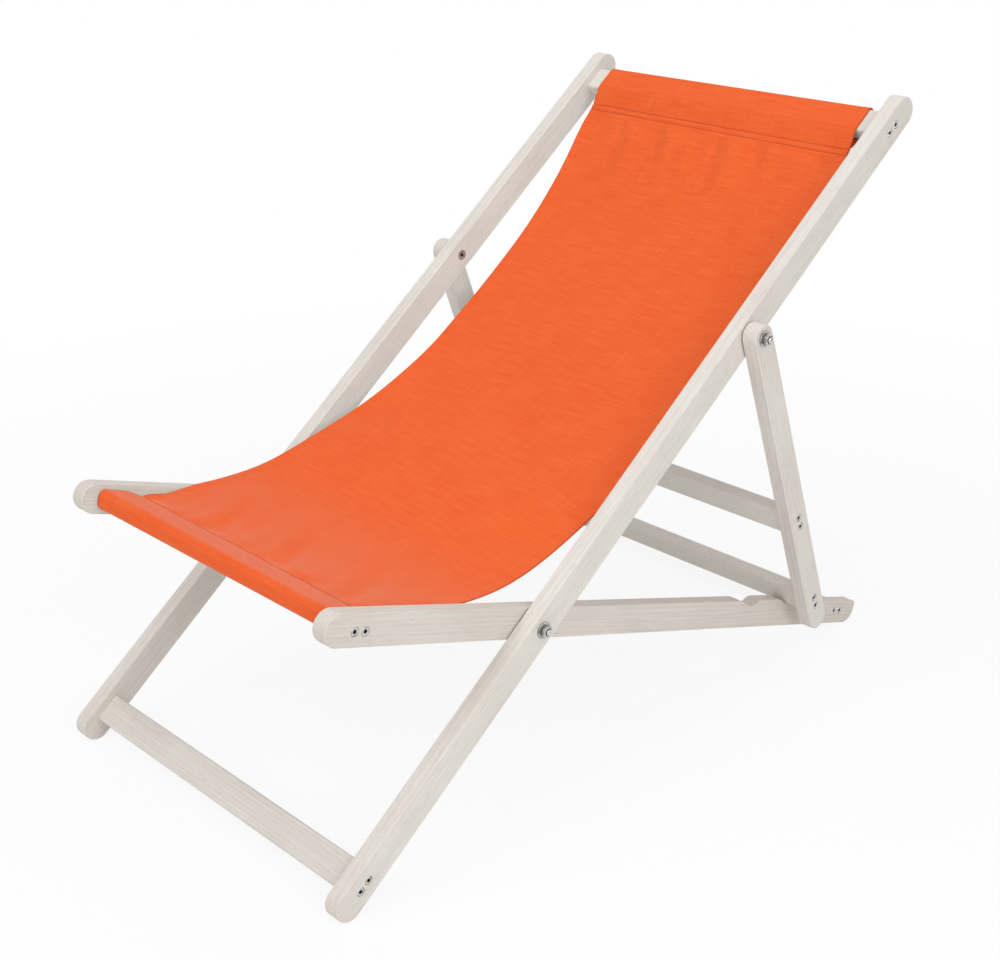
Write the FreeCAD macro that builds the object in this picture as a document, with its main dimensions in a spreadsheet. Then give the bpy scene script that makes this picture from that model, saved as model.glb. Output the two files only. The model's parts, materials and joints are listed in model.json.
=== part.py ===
import FreeCAD, Part
import math
import os
from types import SimpleNamespace

import Sketcher
from FreeCAD import Placement, Rotation, Vector

# Folding sun lounger: a long back frame, a seat frame hinged inside it, a prop frame
# hinged outside it, and a cloth sling hung between the back frame and the seat frame.
# X runs across the chair (+X is the sitter's left), -Y is the front, +Z is up.
# The origin is on the floor at the middle of the chair's plan.

SIZES = (
    ("rail_width", 38.0, "depth of the back and seat rails"),
    ("rail_thickness", 21.0, "thickness of every side rail"),
    ("edge_bevel", 1.0, "bevel along the rails' edges"),
    ("cross_width", 37.0, "width of the cross rails"),
    ("cross_thickness", 18.0, "thickness of the cross rails"),
    ("cross_edge_radius", 3.0, "rounding along the cross rails"),
    ("cross_inset", 45.0, "rail end to the middle of its cross rail"),
    ("top_inset", 48.5, "upper end of a back rail to the middle of the top cross rail"),
    ("back_length", 1223.5, "length of a back rail"),
    ("back_width", 530.0, "across the outer faces of the back rails"),
    ("frame_gap", 1.5, "gap between neighbouring frames"),
    ("foot_to_pivot", 388.0, "foot end of a back rail to the seat pivot"),
    ("pivot_spacing", 443.0, "seat pivot to prop pivot along a back rail"),
    ("seat_front_reach", 307.0, "seat pivot to the front end of a seat rail"),
    ("seat_rear_reach", 708.7, "seat pivot to the rear end of a seat rail"),
    ("heel_radius", 20.0, "lower rear corner of a seat rail"),
    ("tip_radius", 5.0, "upper rear corner of a seat rail"),
    ("tail_reach", 575.0, "seat pivot to the step down to a seat rail's tail"),
    ("tail_drop", 5.5, "height of that step"),
    ("notch_reach", 526.3, "seat pivot to the notch in use"),
    ("notch_depth", 5.0, "depth of the notch in use"),
    ("upright_reach", 443.0, "seat pivot to the upright notch"),
    ("upright_depth", 9.0, "depth of the upright notch"),
    ("notch_ramp", 16.0, "slope of a notch's front side, degrees"),
    ("prop_width", 33.5, "depth of a prop arm"),
    ("prop_length", 482.0, "prop pivot to the lower end of a prop arm"),
    ("prop_upper_reach", 295.0, "prop pivot to the upper prop rail"),
    ("prop_bar_reach", 435.5, "prop pivot to the locking bar"),
    ("bar_edge_radius", 6.0, "rounding along the locking bar"),
    ("bar_clearance", 0.3, "locking bar to its notch"),
    ("bolt_diameter", 8.0, "pivot bolt"),
    ("bolt_head_diameter", 14.0, "pivot bolt's flat head"),
    ("bolt_head_height", 3.0, "pivot bolt's flat head"),
    ("bolt_head_sink", 0.3, "bolt head below the wood"),
    ("bolt_tip", 2.0, "bolt end past its nut"),
    ("pivot_clearance", 0.05, "radial clearance of the bolts"),
    ("head_clearance", 0.1, "radial clearance of the sunk bolt heads"),
    ("turning_gap", 0.1, "end clearance of the turning faces"),
    ("washer_diameter", 20.0, "pivot washers and spacers"),
    ("washer_thickness", 1.6, "washer under a pivot nut"),
    ("nut_across_flats", 13.0, "pivot nut"),
    ("nut_height", 6.5, "pivot nut"),
    ("sling_width", 441.0, "cloth, side to side"),
    ("sling_thickness", 1.6, "cloth"),
    ("sling_clearance", 0.4, "cloth to the rails in its hems"),
    ("hem_tip_radius", 0.4, "inner rounding where a hem's layers meet"),
    ("top_hem_drop", 21.0, "top cross rail's edge to the top seam"),
    ("top_hem_offset", -2.3, "top seam from the back rails' middle line"),
    ("top_hem_fullness", 1.2, "top hem standing out over its rail"),
    ("front_hem_drop", 18.5, "front cross rail's edge to the front seam"),
    ("front_hem_offset", 3.0, "front seam from the seat rails' middle line"),
    ("front_hem_fullness", 4.0, "front hem standing out before its rail"),
    ("front_hem_slack", 2.0, "front hem hanging below its rail"),
    ("sling_top_angle", 17.4, "cloth at the top seam, from the back rails"),
    ("sling_front_angle", 4.5, "cloth at the front seam, from the seat rails"),
    ("sling_arc_ratio", 2.0, "share of the upper arc in the cloth's sag"),
)

NUT_SIDES = 6
SAME_PLACE = 1e-6
LEFT = 1
RIGHT = -1
SIDE_NAMES = {LEFT: "left", RIGHT: "right"}

doc = FreeCAD.newDocument("SunLounger")
sheet = doc.addObject("Spreadsheet::Sheet", "Sizes")
for row, (alias, value, meaning) in enumerate(SIZES, start=1):
    sheet.set(f"A{row}", meaning)
    sheet.set(f"B{row}", str(value))
    sheet.setAlias(f"B{row}", alias)
doc.recompute()
size = SimpleNamespace(**{alias: float(sheet.get(alias)) for alias, _, _ in SIZES})


def number(expression):
    """Return the value of a sheet expression as a plain number."""
    return float(sheet.evalExpression(expression))


# Stations along the rails, counted from the middle of a rail's rounded lower or front end
FOOT_CROSS_AT = "Sizes.cross_inset - Sizes.rail_width / 2"
TOP_CROSS_AT = "Sizes.back_length - Sizes.top_inset - Sizes.rail_width / 2"
BACK_SEAT_PIVOT_AT = "Sizes.foot_to_pivot - Sizes.rail_width / 2"
BACK_PROP_PIVOT_AT = BACK_SEAT_PIVOT_AT + " + Sizes.pivot_spacing"
SEAT_LENGTH = "Sizes.seat_front_reach + Sizes.seat_rear_reach"
SEAT_FRONT_CROSS_AT = "Sizes.cross_inset - Sizes.rail_width / 2"
SEAT_REAR_CROSS_AT = SEAT_LENGTH + " - Sizes.cross_inset - Sizes.rail_width / 2"
SEAT_PIVOT_AT = "Sizes.seat_front_reach - Sizes.rail_width / 2"
PROP_UPPER_AT = "Sizes.prop_upper_reach"
PROP_BAR_AT = "Sizes.prop_bar_reach"

# Faces across the chair, counted from its middle plane
BACK_OUTER = "Sizes.back_width / 2"
BACK_INNER = BACK_OUTER + " - Sizes.rail_thickness"
SEAT_OUTER = BACK_INNER + " - Sizes.frame_gap"
SEAT_INNER = SEAT_OUTER + " - Sizes.rail_thickness"
PROP_INNER = BACK_OUTER + " + Sizes.frame_gap"
PROP_OUTER = PROP_INNER + " + Sizes.rail_thickness"

# Bores
PIVOT_BORE = "Sizes.bolt_diameter + 2 * Sizes.pivot_clearance"
HEAD_BORE = "Sizes.bolt_head_diameter + 2 * Sizes.head_clearance"
HEAD_BORE_DEPTH = "Sizes.bolt_head_height + Sizes.bolt_head_sink"


def in_plane(angle):
    """Return the unit vector at an angle, in radians, from +Y towards +Z."""
    return Vector(0, math.cos(angle), math.sin(angle))


def bar_corner():
    """Return the middle of the locking bar's seated edge, along the prop arm and in front of it."""
    along = size.prop_bar_reach + size.cross_width / 2 - size.bar_edge_radius
    ahead = size.cross_thickness / 2 - size.bar_edge_radius
    return along, ahead


def notch_corner(reach, depth):
    """Return where that edge sits in a notch, along the seat rail and above its middle line."""
    lift = size.rail_width / 2 - depth + size.bar_edge_radius + size.bar_clearance
    return reach, lift


def frame_angles(reach, depth):
    """Return the angle from the back rail to the seat rail, and from the seat rail's square to the prop.

    The seat pivot, the prop pivot and the locking bar make a triangle of known sides.
    """
    bar_along, bar_ahead = bar_corner()
    notch_along, notch_lift = notch_corner(reach, depth)
    to_bar = math.hypot(bar_along, bar_ahead)
    to_notch = math.hypot(notch_along, notch_lift)
    cosine = (size.pivot_spacing**2 + to_notch**2 - to_bar**2) / (2 * size.pivot_spacing * to_notch)
    spread = math.acos(cosine) + math.atan2(notch_lift, notch_along)
    drop = size.pivot_spacing * math.sin(spread) - notch_lift
    run = notch_along - size.pivot_spacing * math.cos(spread)
    lean = math.atan2(run, drop) + math.atan2(bar_ahead, bar_along)
    return spread, lean


def solve_stance():
    """Stand the chair on its feet and heels and return the frames' angles and pivots."""
    spread, lean = frame_angles(size.notch_reach, size.notch_depth)
    half = size.rail_width / 2
    foot_arm = size.foot_to_pivot - half
    heel_arm = size.seat_rear_reach - size.heel_radius
    heel_drop = half - size.heel_radius
    sine_part = foot_arm + heel_arm * math.cos(spread) - heel_drop * math.sin(spread)
    cosine_part = heel_arm * math.sin(spread) + heel_drop * math.cos(spread)
    rise = (size.heel_radius - half) / math.hypot(sine_part, cosine_part)
    back_angle = math.asin(rise) + math.atan2(cosine_part, sine_part)
    seat_angle = back_angle - spread
    prop_angle = seat_angle - math.pi / 2 + lean

    foot = Vector(0, 0, half)
    top = foot + in_plane(back_angle) * (size.back_length - size.rail_width)
    seat_pivot = foot + in_plane(back_angle) * foot_arm
    prop_pivot = seat_pivot + in_plane(back_angle) * size.pivot_spacing
    toe = seat_pivot - in_plane(seat_angle) * (size.seat_front_reach - half)
    heel = seat_pivot + in_plane(seat_angle) * heel_arm - in_plane(seat_angle + math.pi / 2) * heel_drop
    tip_arm = size.seat_rear_reach - size.tip_radius
    tip_lift = in_plane(seat_angle + math.pi / 2) * (half - size.tail_drop - size.tip_radius)
    tip = seat_pivot + in_plane(seat_angle) * tip_arm + tip_lift

    front = min(foot.y, toe.y) - half
    rear = max(top.y + half, heel.y + size.heel_radius, tip.y + size.tip_radius)
    middle = Vector(0, (front + rear) / 2, 0)
    return SimpleNamespace(
        back_angle=back_angle,
        seat_angle=seat_angle,
        prop_angle=prop_angle,
        foot=foot - middle,
        seat_pivot=seat_pivot - middle,
        prop_pivot=prop_pivot - middle,
        toe=toe - middle,
    )


stance = solve_stance()


def lying(angle, station, origin):
    """Return the placement of a cross rail: across the chair, its width along a frame's direction."""
    spot = origin + in_plane(angle) * station
    return Placement(spot, Rotation(Vector(1, 0, 0), math.degrees(angle)))


def standing(angle, side, inner_face, origin):
    """Return the placement of a side rail: its length along a frame, its thickness outwards."""
    outwards = Vector(side, 0, 0)
    along = in_plane(angle)
    turned = Rotation(along, outwards.cross(along), outwards, "ZXY")
    return Placement(origin + outwards * number(inner_face), turned)


def facing_out(side, face, spot):
    """Return the placement of a fastener whose own Z points outwards from a face."""
    turned = Rotation(Vector(0, 0, 1), Vector(side, 0, 0))
    return Placement(Vector(side * number(face), spot.y, spot.z), turned)


# Bodies, sketches and features


def new_body(label):
    """Start a body under its own label."""
    body = doc.addObject("PartDesign::Body", label)
    body.Label = label
    return body


def sketch_on(body, name, role):
    """Attach a sketch to one of a body's own planes."""
    sketch = body.newObject("Sketcher::SketchObject", name)
    plane = next(item for item in body.Origin.OriginFeatures if item.Role == role)
    sketch.AttachmentSupport = (plane, [""])
    sketch.MapMode = "FlatFace"
    return sketch


def drive(sketch, kind, expression, *points):
    """Add a driving constraint and bind it to the sheet."""
    index = sketch.addConstraint(Sketcher.Constraint(kind, *points, number(expression)))
    sketch.setExpression(f"Constraints[{index}]", expression)


def pad(body, sketch, length, symmetric=False):
    """Raise a sketch into a solid."""
    feature = body.newObject("PartDesign::Pad", sketch.Name + "_pad")
    feature.Profile = sketch
    feature.setExpression("Length", length)
    if symmetric:
        feature.SideType = "Symmetric"
    doc.recompute()
    return feature


def pocket(body, sketch, depth=None, backwards=False):
    """Cut a sketch into a body, right through or to a depth, and check that it cut."""
    before = body.Shape.Volume
    feature = body.newObject("PartDesign::Pocket", sketch.Name + "_pocket")
    feature.Profile = sketch
    feature.Reversed = backwards
    if depth:
        feature.Type = "Length"
        feature.setExpression("Length", depth)
    else:
        feature.Type = "ThroughAll"
    doc.recompute()
    if body.Shape.Volume >= before:
        raise RuntimeError(feature.Name + " cuts nothing")
    return feature


def picked(base, chosen):
    """Return a feature and the names of its edges that a test picks out."""
    return base, [f"Edge{i}" for i, edge in enumerate(base.Shape.Edges, start=1) if chosen(edge)]


def fillet(body, base, chosen, radius):
    """Round the edges of a feature that a test picks out."""
    feature = body.newObject("PartDesign::Fillet", base.Name + "_round")
    feature.Base = picked(base, chosen)
    feature.setExpression("Radius", radius)
    doc.recompute()
    return feature


def bevel(body, base, chosen, width):
    """Bevel the edges of a feature that a test picks out."""
    feature = body.newObject("PartDesign::Chamfer", base.Name + "_bevel")
    feature.Base = picked(base, chosen)
    feature.setExpression("Size", width)
    doc.recompute()
    return feature


def line(start, end):
    """Return a sketch line between two pairs of numbers."""
    return Part.LineSegment(Vector(*start, 0), Vector(*end, 0))


def arc(centre, radius, start, end):
    """Return a sketch arc, counter-clockwise between two angles in radians."""
    circle = Part.Circle(Vector(*centre, 0), Vector(0, 0, 1), radius)
    return Part.ArcOfCircle(circle, start, end)


def rounded_bar(sketch, width, end_at, round_end):
    """Draw a bar from a round end on the sketch's origin to a round or square far end."""
    half = number(width) / 2
    end = number(end_at)
    right = math.pi / 2
    start, finish = 1, 2
    near = sketch.addGeometry(arc((0, 0), half, right, 3 * right))
    lower = sketch.addGeometry(line((0, -half), (end, -half)))
    if round_end:
        far = sketch.addGeometry(arc((end, 0), half, -right, right))
    else:
        far = sketch.addGeometry(line((end, -half), (end, half)))
    upper = sketch.addGeometry(line((end, half), (0, half)))
    sketch.addConstraint(Sketcher.Constraint("Coincident", near, 3, -1, 1))
    sketch.addConstraint(Sketcher.Constraint("Tangent", near, finish, lower, start))
    sketch.addConstraint(Sketcher.Constraint("Tangent", upper, finish, near, start))
    sketch.addConstraint(Sketcher.Constraint("Horizontal", lower))
    drive(sketch, "Radius", f"({width}) / 2", near)
    if round_end:
        sketch.addConstraint(Sketcher.Constraint("Tangent", lower, finish, far, start))
        sketch.addConstraint(Sketcher.Constraint("Tangent", far, finish, upper, start))
        drive(sketch, "DistanceX", end_at, -1, 1, far, 3)
    else:
        sketch.addConstraint(Sketcher.Constraint("Coincident", lower, finish, far, start))
        sketch.addConstraint(Sketcher.Constraint("Coincident", far, finish, upper, start))
        sketch.addConstraint(Sketcher.Constraint("Horizontal", upper))
        sketch.addConstraint(Sketcher.Constraint("Vertical", far))
        drive(sketch, "DistanceX", end_at, -1, 1, far, 1)


def round_spots(sketch, stations, diameter):
    """Draw circles at stations along the sketch's X axis."""
    for station in stations:
        circle = Part.Circle(Vector(number(station), 0, 0), Vector(0, 0, 1), number(diameter) / 2)
        spot = sketch.addGeometry(circle)
        sketch.addConstraint(Sketcher.Constraint("PointOnObject", spot, 3, -1))
        drive(sketch, "DistanceX", station, -1, 1, spot, 3)
        drive(sketch, "Diameter", diameter, spot)


def bore_pivots(body, stations):
    """Bore the pivot holes right through a side rail."""
    sketch = sketch_on(body, body.Name + "_pivots", "XY_Plane")
    round_spots(sketch, stations, PIVOT_BORE)
    pocket(body, sketch, backwards=True)


def sink_bolt_head(body, station):
    """Counterbore a side rail's inner face for a flush bolt head."""
    sketch = sketch_on(body, body.Name + "_head", "XY_Plane")
    round_spots(sketch, [station], HEAD_BORE)
    pocket(body, sketch, HEAD_BORE_DEPTH, backwards=True)


def on_broad_face(edge):
    """Tell whether an edge lies on one of a side rail's two broad faces."""
    return edge.BoundBox.ZLength < SAME_PLACE


def side_rail(label, width, end_at, round_end=True):
    """Make a side rail's board from its outline."""
    body = new_body(label)
    outline = sketch_on(body, label + "_outline", "XY_Plane")
    rounded_bar(outline, width, end_at, round_end)
    return body, pad(body, outline, "Sizes.rail_thickness")


def back_rail(side):
    """Make one long rail of the back frame."""
    label = f"back_rail_{SIDE_NAMES[side]}"
    body, board = side_rail(label, "Sizes.rail_width", "Sizes.back_length - Sizes.rail_width")
    bevel(body, board, on_broad_face, "Sizes.edge_bevel")
    bore_pivots(body, [BACK_SEAT_PIVOT_AT, BACK_PROP_PIVOT_AT])
    sink_bolt_head(body, BACK_PROP_PIVOT_AT)
    body.Placement = standing(stance.back_angle, side, BACK_INNER, stance.foot)
    return body


def notch_outline(sketch, reach, depth, up):
    """Draw one notch: a ramp in front, a round bed, and a rear wall square to the prop's thrust."""
    _, lean = frame_angles(reach, depth)
    bed_along, bed_lift = notch_corner(reach, depth)
    along = number(SEAT_PIVOT_AT) + bed_along
    radius = size.bar_edge_radius + size.bar_clearance
    ramp = math.radians(size.notch_ramp)
    brim = size.rail_width / 2 + depth

    ramp_foot = (along - radius * math.sin(ramp), bed_lift - radius * math.cos(ramp))
    wall_foot = (along + radius * math.sin(lean), bed_lift - radius * math.cos(lean))
    ramp_top = (ramp_foot[0] - (brim - ramp_foot[1]) / math.tan(ramp), brim)
    wall_top = (wall_foot[0] + (brim - wall_foot[1]) / math.tan(lean), brim)

    def turned(point):
        return (point[0], up * point[1])

    down = -math.pi / 2
    turn = (down - ramp, down + lean) if up > 0 else (-down - lean, -down + ramp)
    sketch.addGeometry(line(turned(ramp_top), turned(ramp_foot)))
    sketch.addGeometry(arc((along, up * bed_lift), radius, *turn))
    sketch.addGeometry(line(turned(wall_foot), turned(wall_top)))
    sketch.addGeometry(line(turned(wall_top), turned(ramp_top)))


def tail_outline(sketch, end, up):
    """Draw what is taken off the top of a seat rail's tail, from a sloping step to past its end."""
    step = number(SEAT_PIVOT_AT) + size.tail_reach
    half = size.rail_width / 2
    low = half - size.tail_drop
    high = half + size.tail_drop
    past = end + size.tail_drop
    corners = [(step, high), (step, half), (step + size.tail_drop, low), (past, low), (past, high)]
    corners = [(along, up * lift) for along, lift in corners]
    for i, corner in enumerate(corners):
        sketch.addGeometry(line(corner, corners[(i + 1) % len(corners)]))


def seat_rail(side):
    """Make one notched rail of the seat frame."""
    label = f"seat_rail_{SIDE_NAMES[side]}"
    end_at = SEAT_LENGTH + " - Sizes.rail_width / 2"
    body, board = side_rail(label, "Sizes.rail_width", end_at, round_end=False)
    end = number(end_at)

    def rear_corner(up):
        def chosen(edge):
            centre = edge.CenterOfMass
            upright = edge.BoundBox.ZLength > size.rail_thickness / 2
            return upright and abs(centre.x - end) < SAME_PLACE and centre.y * up > 0
        return chosen

    tail = sketch_on(body, label + "_tail", "XY_Plane")
    tail_outline(tail, end, side)
    lowered = pocket(body, tail, backwards=True)
    heel = fillet(body, lowered, rear_corner(-side), "Sizes.heel_radius")
    tip = fillet(body, heel, rear_corner(side), "Sizes.tip_radius")
    bevel(body, tip, on_broad_face, "Sizes.edge_bevel")
    notches = sketch_on(body, label + "_notches", "XY_Plane")
    notch_outline(notches, size.notch_reach, size.notch_depth, side)
    notch_outline(notches, size.upright_reach, size.upright_depth, side)
    pocket(body, notches, backwards=True)
    bore_pivots(body, [SEAT_PIVOT_AT])
    sink_bolt_head(body, SEAT_PIVOT_AT)
    body.Placement = standing(stance.seat_angle, side, SEAT_INNER, stance.toe)
    return body


def prop_arm(side):
    """Make one arm of the prop frame."""
    label = f"prop_arm_{SIDE_NAMES[side]}"
    end_at = "Sizes.prop_length - Sizes.prop_width / 2"
    body, board = side_rail(label, "Sizes.prop_width", end_at)
    bevel(body, board, on_broad_face, "Sizes.edge_bevel")
    pivots = sketch_on(body, label + "_pivots", "XY_Plane")
    circle = pivots.addGeometry(Part.Circle(Vector(), Vector(0, 0, 1), number(PIVOT_BORE) / 2))
    pivots.addConstraint(Sketcher.Constraint("Coincident", circle, 3, -1, 1))
    drive(pivots, "Diameter", PIVOT_BORE, circle)
    pocket(body, pivots, backwards=True)
    body.Placement = standing(stance.prop_angle, side, PROP_INNER, stance.prop_pivot)
    return body


def cross_rail(label, half_span, edge_radius, placement):
    """Make a cross rail: a rounded batten that butts against the side rails."""
    body = new_body(label)
    section = sketch_on(body, label + "_section", "YZ_Plane")
    half_w = size.cross_width / 2
    half_t = size.cross_thickness / 2
    corners = [(-half_w, -half_t), (half_w, -half_t), (half_w, half_t), (-half_w, half_t)]
    sides = [
        section.addGeometry(line(corners[i], corners[(i + 1) % len(corners)]))
        for i in range(len(corners))
    ]
    for i, side in enumerate(sides):
        following = sides[(i + 1) % len(sides)]
        section.addConstraint(Sketcher.Constraint("Coincident", side, 2, following, 1))
        section.addConstraint(Sketcher.Constraint("Vertical" if i % 2 else "Horizontal", side))
    section.addConstraint(Sketcher.Constraint("Symmetric", sides[0], 1, sides[2], 1, -1, 1))
    drive(section, "DistanceX", "Sizes.cross_width", sides[0], 1, sides[0], 2)
    drive(section, "DistanceY", "Sizes.cross_thickness", sides[1], 1, sides[1], 2)
    batten = pad(body, section, f"2 * ({half_span})", symmetric=True)

    def long_edge(edge):
        return edge.BoundBox.XLength > number(half_span)

    fillet(body, batten, long_edge, edge_radius)
    body.Placement = placement
    return body


# Fasteners, each drawn once along its own Z axis and set in place as linked copies


def cylinder(name, diameter, height, base="0"):
    """Make a cylinder on the Z axis."""
    solid = doc.addObject("Part::Cylinder", name)
    solid.setExpression("Radius", f"({diameter}) / 2")
    solid.setExpression("Height", height)
    solid.setExpression("Placement.Base.z", base)
    return solid


def joined(kind, name, base, tool):
    """Fuse two shapes or cut one from the other."""
    result = doc.addObject(kind, name)
    result.Base = base
    result.Tool = tool
    return result


def ring(name, outer, inner, height):
    """Make a flat ring on the Z axis."""
    disc = cylinder(name + "_disc", outer, height)
    hole = cylinder(name + "_hole", inner, height)
    return joined("Part::Cut", name, disc, hole)


def pivot_bolt():
    """Make a pivot bolt from its head at Z = 0, with room for two rails, a washer and a nut."""
    head = cylinder("bolt_head", "Sizes.bolt_head_diameter", "Sizes.bolt_head_height")
    length = (
        "2 * Sizes.rail_thickness + Sizes.frame_gap + Sizes.turning_gap + Sizes.washer_thickness"
        " + Sizes.nut_height + Sizes.bolt_tip - Sizes.bolt_head_sink"
    )
    shank = cylinder("bolt_shank", "Sizes.bolt_diameter", length)
    return joined("Part::Fuse", "bolt", head, shank)


def pivot_nut():
    """Make a hexagon nut on the Z axis."""
    hexagon = doc.addObject("Part::Prism", "nut_hexagon")
    hexagon.Polygon = NUT_SIDES
    hexagon.setExpression("Circumradius", f"Sizes.nut_across_flats / 2 / cos(180 deg / {NUT_SIDES})")
    hexagon.setExpression("Height", "Sizes.nut_height")
    hole = cylinder("nut_hole", PIVOT_BORE, "Sizes.nut_height")
    return joined("Part::Cut", "nut", hexagon, hole)


def copies(label, master, placements):
    """Set copies of one fastener in place as the separate solids of a single group."""
    links = []
    for i, placement in enumerate(placements):
        link = doc.addObject("App::Link", f"{label}_{i}")
        link.LinkedObject = master
        link.LinkTransform = False
        link.Placement = placement
        links.append(link)
    group = doc.addObject("Part::Compound", label)
    group.Label = label
    group.Links = links
    return group


def on_both_sides(face, spot):
    """Return a fastener's outward placements on the left and on the right."""
    return [facing_out(side, face, spot) for side in (LEFT, RIGHT)]


def pivot_set(name, fasteners, spot, inner_face, joint_face, outer_face):
    """Make the bolts, spacers, washers and nuts of one pair of pivots."""
    bolt, spacer, washer, nut = fasteners
    washer_face = f"{outer_face} + Sizes.turning_gap"
    nut_face = f"{washer_face} + Sizes.washer_thickness"
    head_face = f"{inner_face} + Sizes.bolt_head_sink"
    return [
        copies(f"{name}_pivot_bolts", bolt, on_both_sides(head_face, spot)),
        copies(f"{name}_pivot_spacers", spacer, on_both_sides(joint_face, spot)),
        copies(f"{name}_pivot_washers", washer, on_both_sides(washer_face, spot)),
        copies(f"{name}_pivot_nuts", nut, on_both_sides(nut_face, spot)),
    ]


# The cloth sling, drawn from the side and raised across the chair


def flat(vector):
    """Return a vector's Y and Z as a sketch point on the chair's middle plane."""
    return (vector.y, vector.z)


def belt(sketch, pulleys):
    """Draw a closed outline of tangent lines and arcs round circles listed counter-clockwise."""
    normals = []
    for i, (centre, radius) in enumerate(pulleys):
        following, next_radius = pulleys[(i + 1) % len(pulleys)]
        run = (following[0] - centre[0], following[1] - centre[1])
        distance = math.hypot(*run)
        heading = math.atan2(run[1], run[0])
        normals.append(heading - math.acos((radius - next_radius) / distance))
    for i, (centre, radius) in enumerate(pulleys):
        following, next_radius = pulleys[(i + 1) % len(pulleys)]
        arrive = normals[i - 1]
        leave = arrive + (normals[i] - arrive) % (2 * math.pi)
        sketch.addGeometry(arc(centre, radius, arrive, leave))
        start = (centre[0] + radius * math.cos(leave), centre[1] + radius * math.sin(leave))
        end = (
            following[0] + next_radius * math.cos(leave),
            following[1] + next_radius * math.sin(leave),
        )
        sketch.addGeometry(line(start, end))


def hem(body, name, middle, along, up, fullness, slack, seam):
    """Raise the loop of cloth round a cross rail, drawn in to its seam."""
    inner = size.cross_edge_radius + size.sling_clearance
    reach = size.cross_width / 2 - size.cross_edge_radius
    rise = size.cross_thickness / 2 - size.cross_edge_radius
    far_top = middle - along * (reach + fullness) + up * rise
    far_base = middle - along * (reach + fullness) - up * (rise + slack)
    near_base = middle + along * reach - up * (rise + slack)
    near_top = middle + along * reach + up * rise
    around = [(flat(spot), inner) for spot in (far_top, far_base, near_base)]
    around.append((flat(seam), size.hem_tip_radius))
    around.append((flat(near_top), inner))
    if along.cross(up).x < 0:
        around.reverse()
    sketch = sketch_on(body, name, "YZ_Plane")
    belt(sketch, around)
    belt(sketch, [(centre, radius + size.sling_thickness) for centre, radius in around])
    pad(body, sketch, "Sizes.sling_width", symmetric=True)


def tangent_arcs(start, start_way, end, end_way, ratio):
    """Return the point where two tangent arcs meet that join two points along two directions."""
    chord = end - start
    square = 2 * ratio * (start_way.dot(end_way) - 1)
    linear = -2 * chord.dot(start_way * ratio + end_way)
    root = math.sqrt(linear**2 - 4 * square * chord.dot(chord))
    end_arm = (-linear - root) / (2 * square)
    start_arm = ratio * end_arm
    start_knee = start + start_way * start_arm
    end_knee = end - end_way * end_arm
    return (start_knee * end_arm + end_knee * start_arm) / (start_arm + end_arm)


def arc_through(start, way, end):
    """Return the centre of the arc that leaves a point along a direction and reaches another."""
    square = Vector(0, -way.z, way.y)
    chord = end - start
    return start + square * (chord.dot(chord) / (2 * chord.dot(square)))


def sagging_strip(sketch, start, start_way, end, end_way):
    """Draw the cloth between its seams: two tangent arcs with the cloth's thickness."""
    middle = tangent_arcs(start, start_way, end, end_way, size.sling_arc_ratio)
    half = size.sling_thickness / 2
    spans = [
        (start, middle, arc_through(start, start_way, middle)),
        (middle, end, arc_through(end, end_way, middle)),
    ]
    edges = {}
    for sign in (-1, 1):
        for i, (first, last, centre) in enumerate(spans):
            radius = (first - centre).Length + sign * half
            angles = [math.atan2(spot.z - centre.z, spot.y - centre.y) for spot in (first, last)]
            sketch.addGeometry(arc(flat(centre), radius, *sorted(angles)))
            ends = [centre + in_plane(angle) * radius for angle in angles]
            edges[sign, i] = ends
    last_span = len(spans) - 1
    sketch.addGeometry(line(flat(edges[-1, 0][0]), flat(edges[1, 0][0])))
    sketch.addGeometry(line(flat(edges[-1, last_span][1]), flat(edges[1, last_span][1])))


def make_sling():
    """Make the sling: a hem round the top rail, the hanging cloth, and a hem round the front rail."""
    body = new_body("sling")
    up_back = in_plane(stance.back_angle)
    ahead_back = in_plane(stance.back_angle + math.pi / 2)
    along_seat = in_plane(stance.seat_angle)
    above_seat = in_plane(stance.seat_angle + math.pi / 2)
    top_middle = stance.foot + up_back * number(TOP_CROSS_AT)
    front_middle = stance.toe + along_seat * number(SEAT_FRONT_CROSS_AT)
    half = size.cross_width / 2
    top_seam = top_middle - up_back * (half + size.top_hem_drop) + ahead_back * size.top_hem_offset
    front_seam = (
        front_middle + along_seat * (half + size.front_hem_drop) + above_seat * size.front_hem_offset
    )
    top_fullness, front_fullness = size.top_hem_fullness, size.front_hem_fullness
    front_slack = size.front_hem_slack
    hem(body, "top_hem", top_middle, up_back * -1, ahead_back, top_fullness, 0, top_seam)
    hem(body, "front_hem", front_middle, along_seat, above_seat, front_fullness, front_slack, front_seam)

    leave = in_plane(stance.back_angle + math.radians(size.sling_top_angle)) * -1
    arrive = in_plane(stance.seat_angle + math.radians(size.sling_front_angle)) * -1
    in_seam = size.hem_tip_radius + size.sling_thickness / 2
    strip = sketch_on(body, "hanging_cloth", "YZ_Plane")
    sagging_strip(strip, top_seam + leave * in_seam, leave, front_seam - arrive * in_seam, arrive)
    pad(body, strip, "Sizes.sling_width", symmetric=True)
    return body


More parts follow.
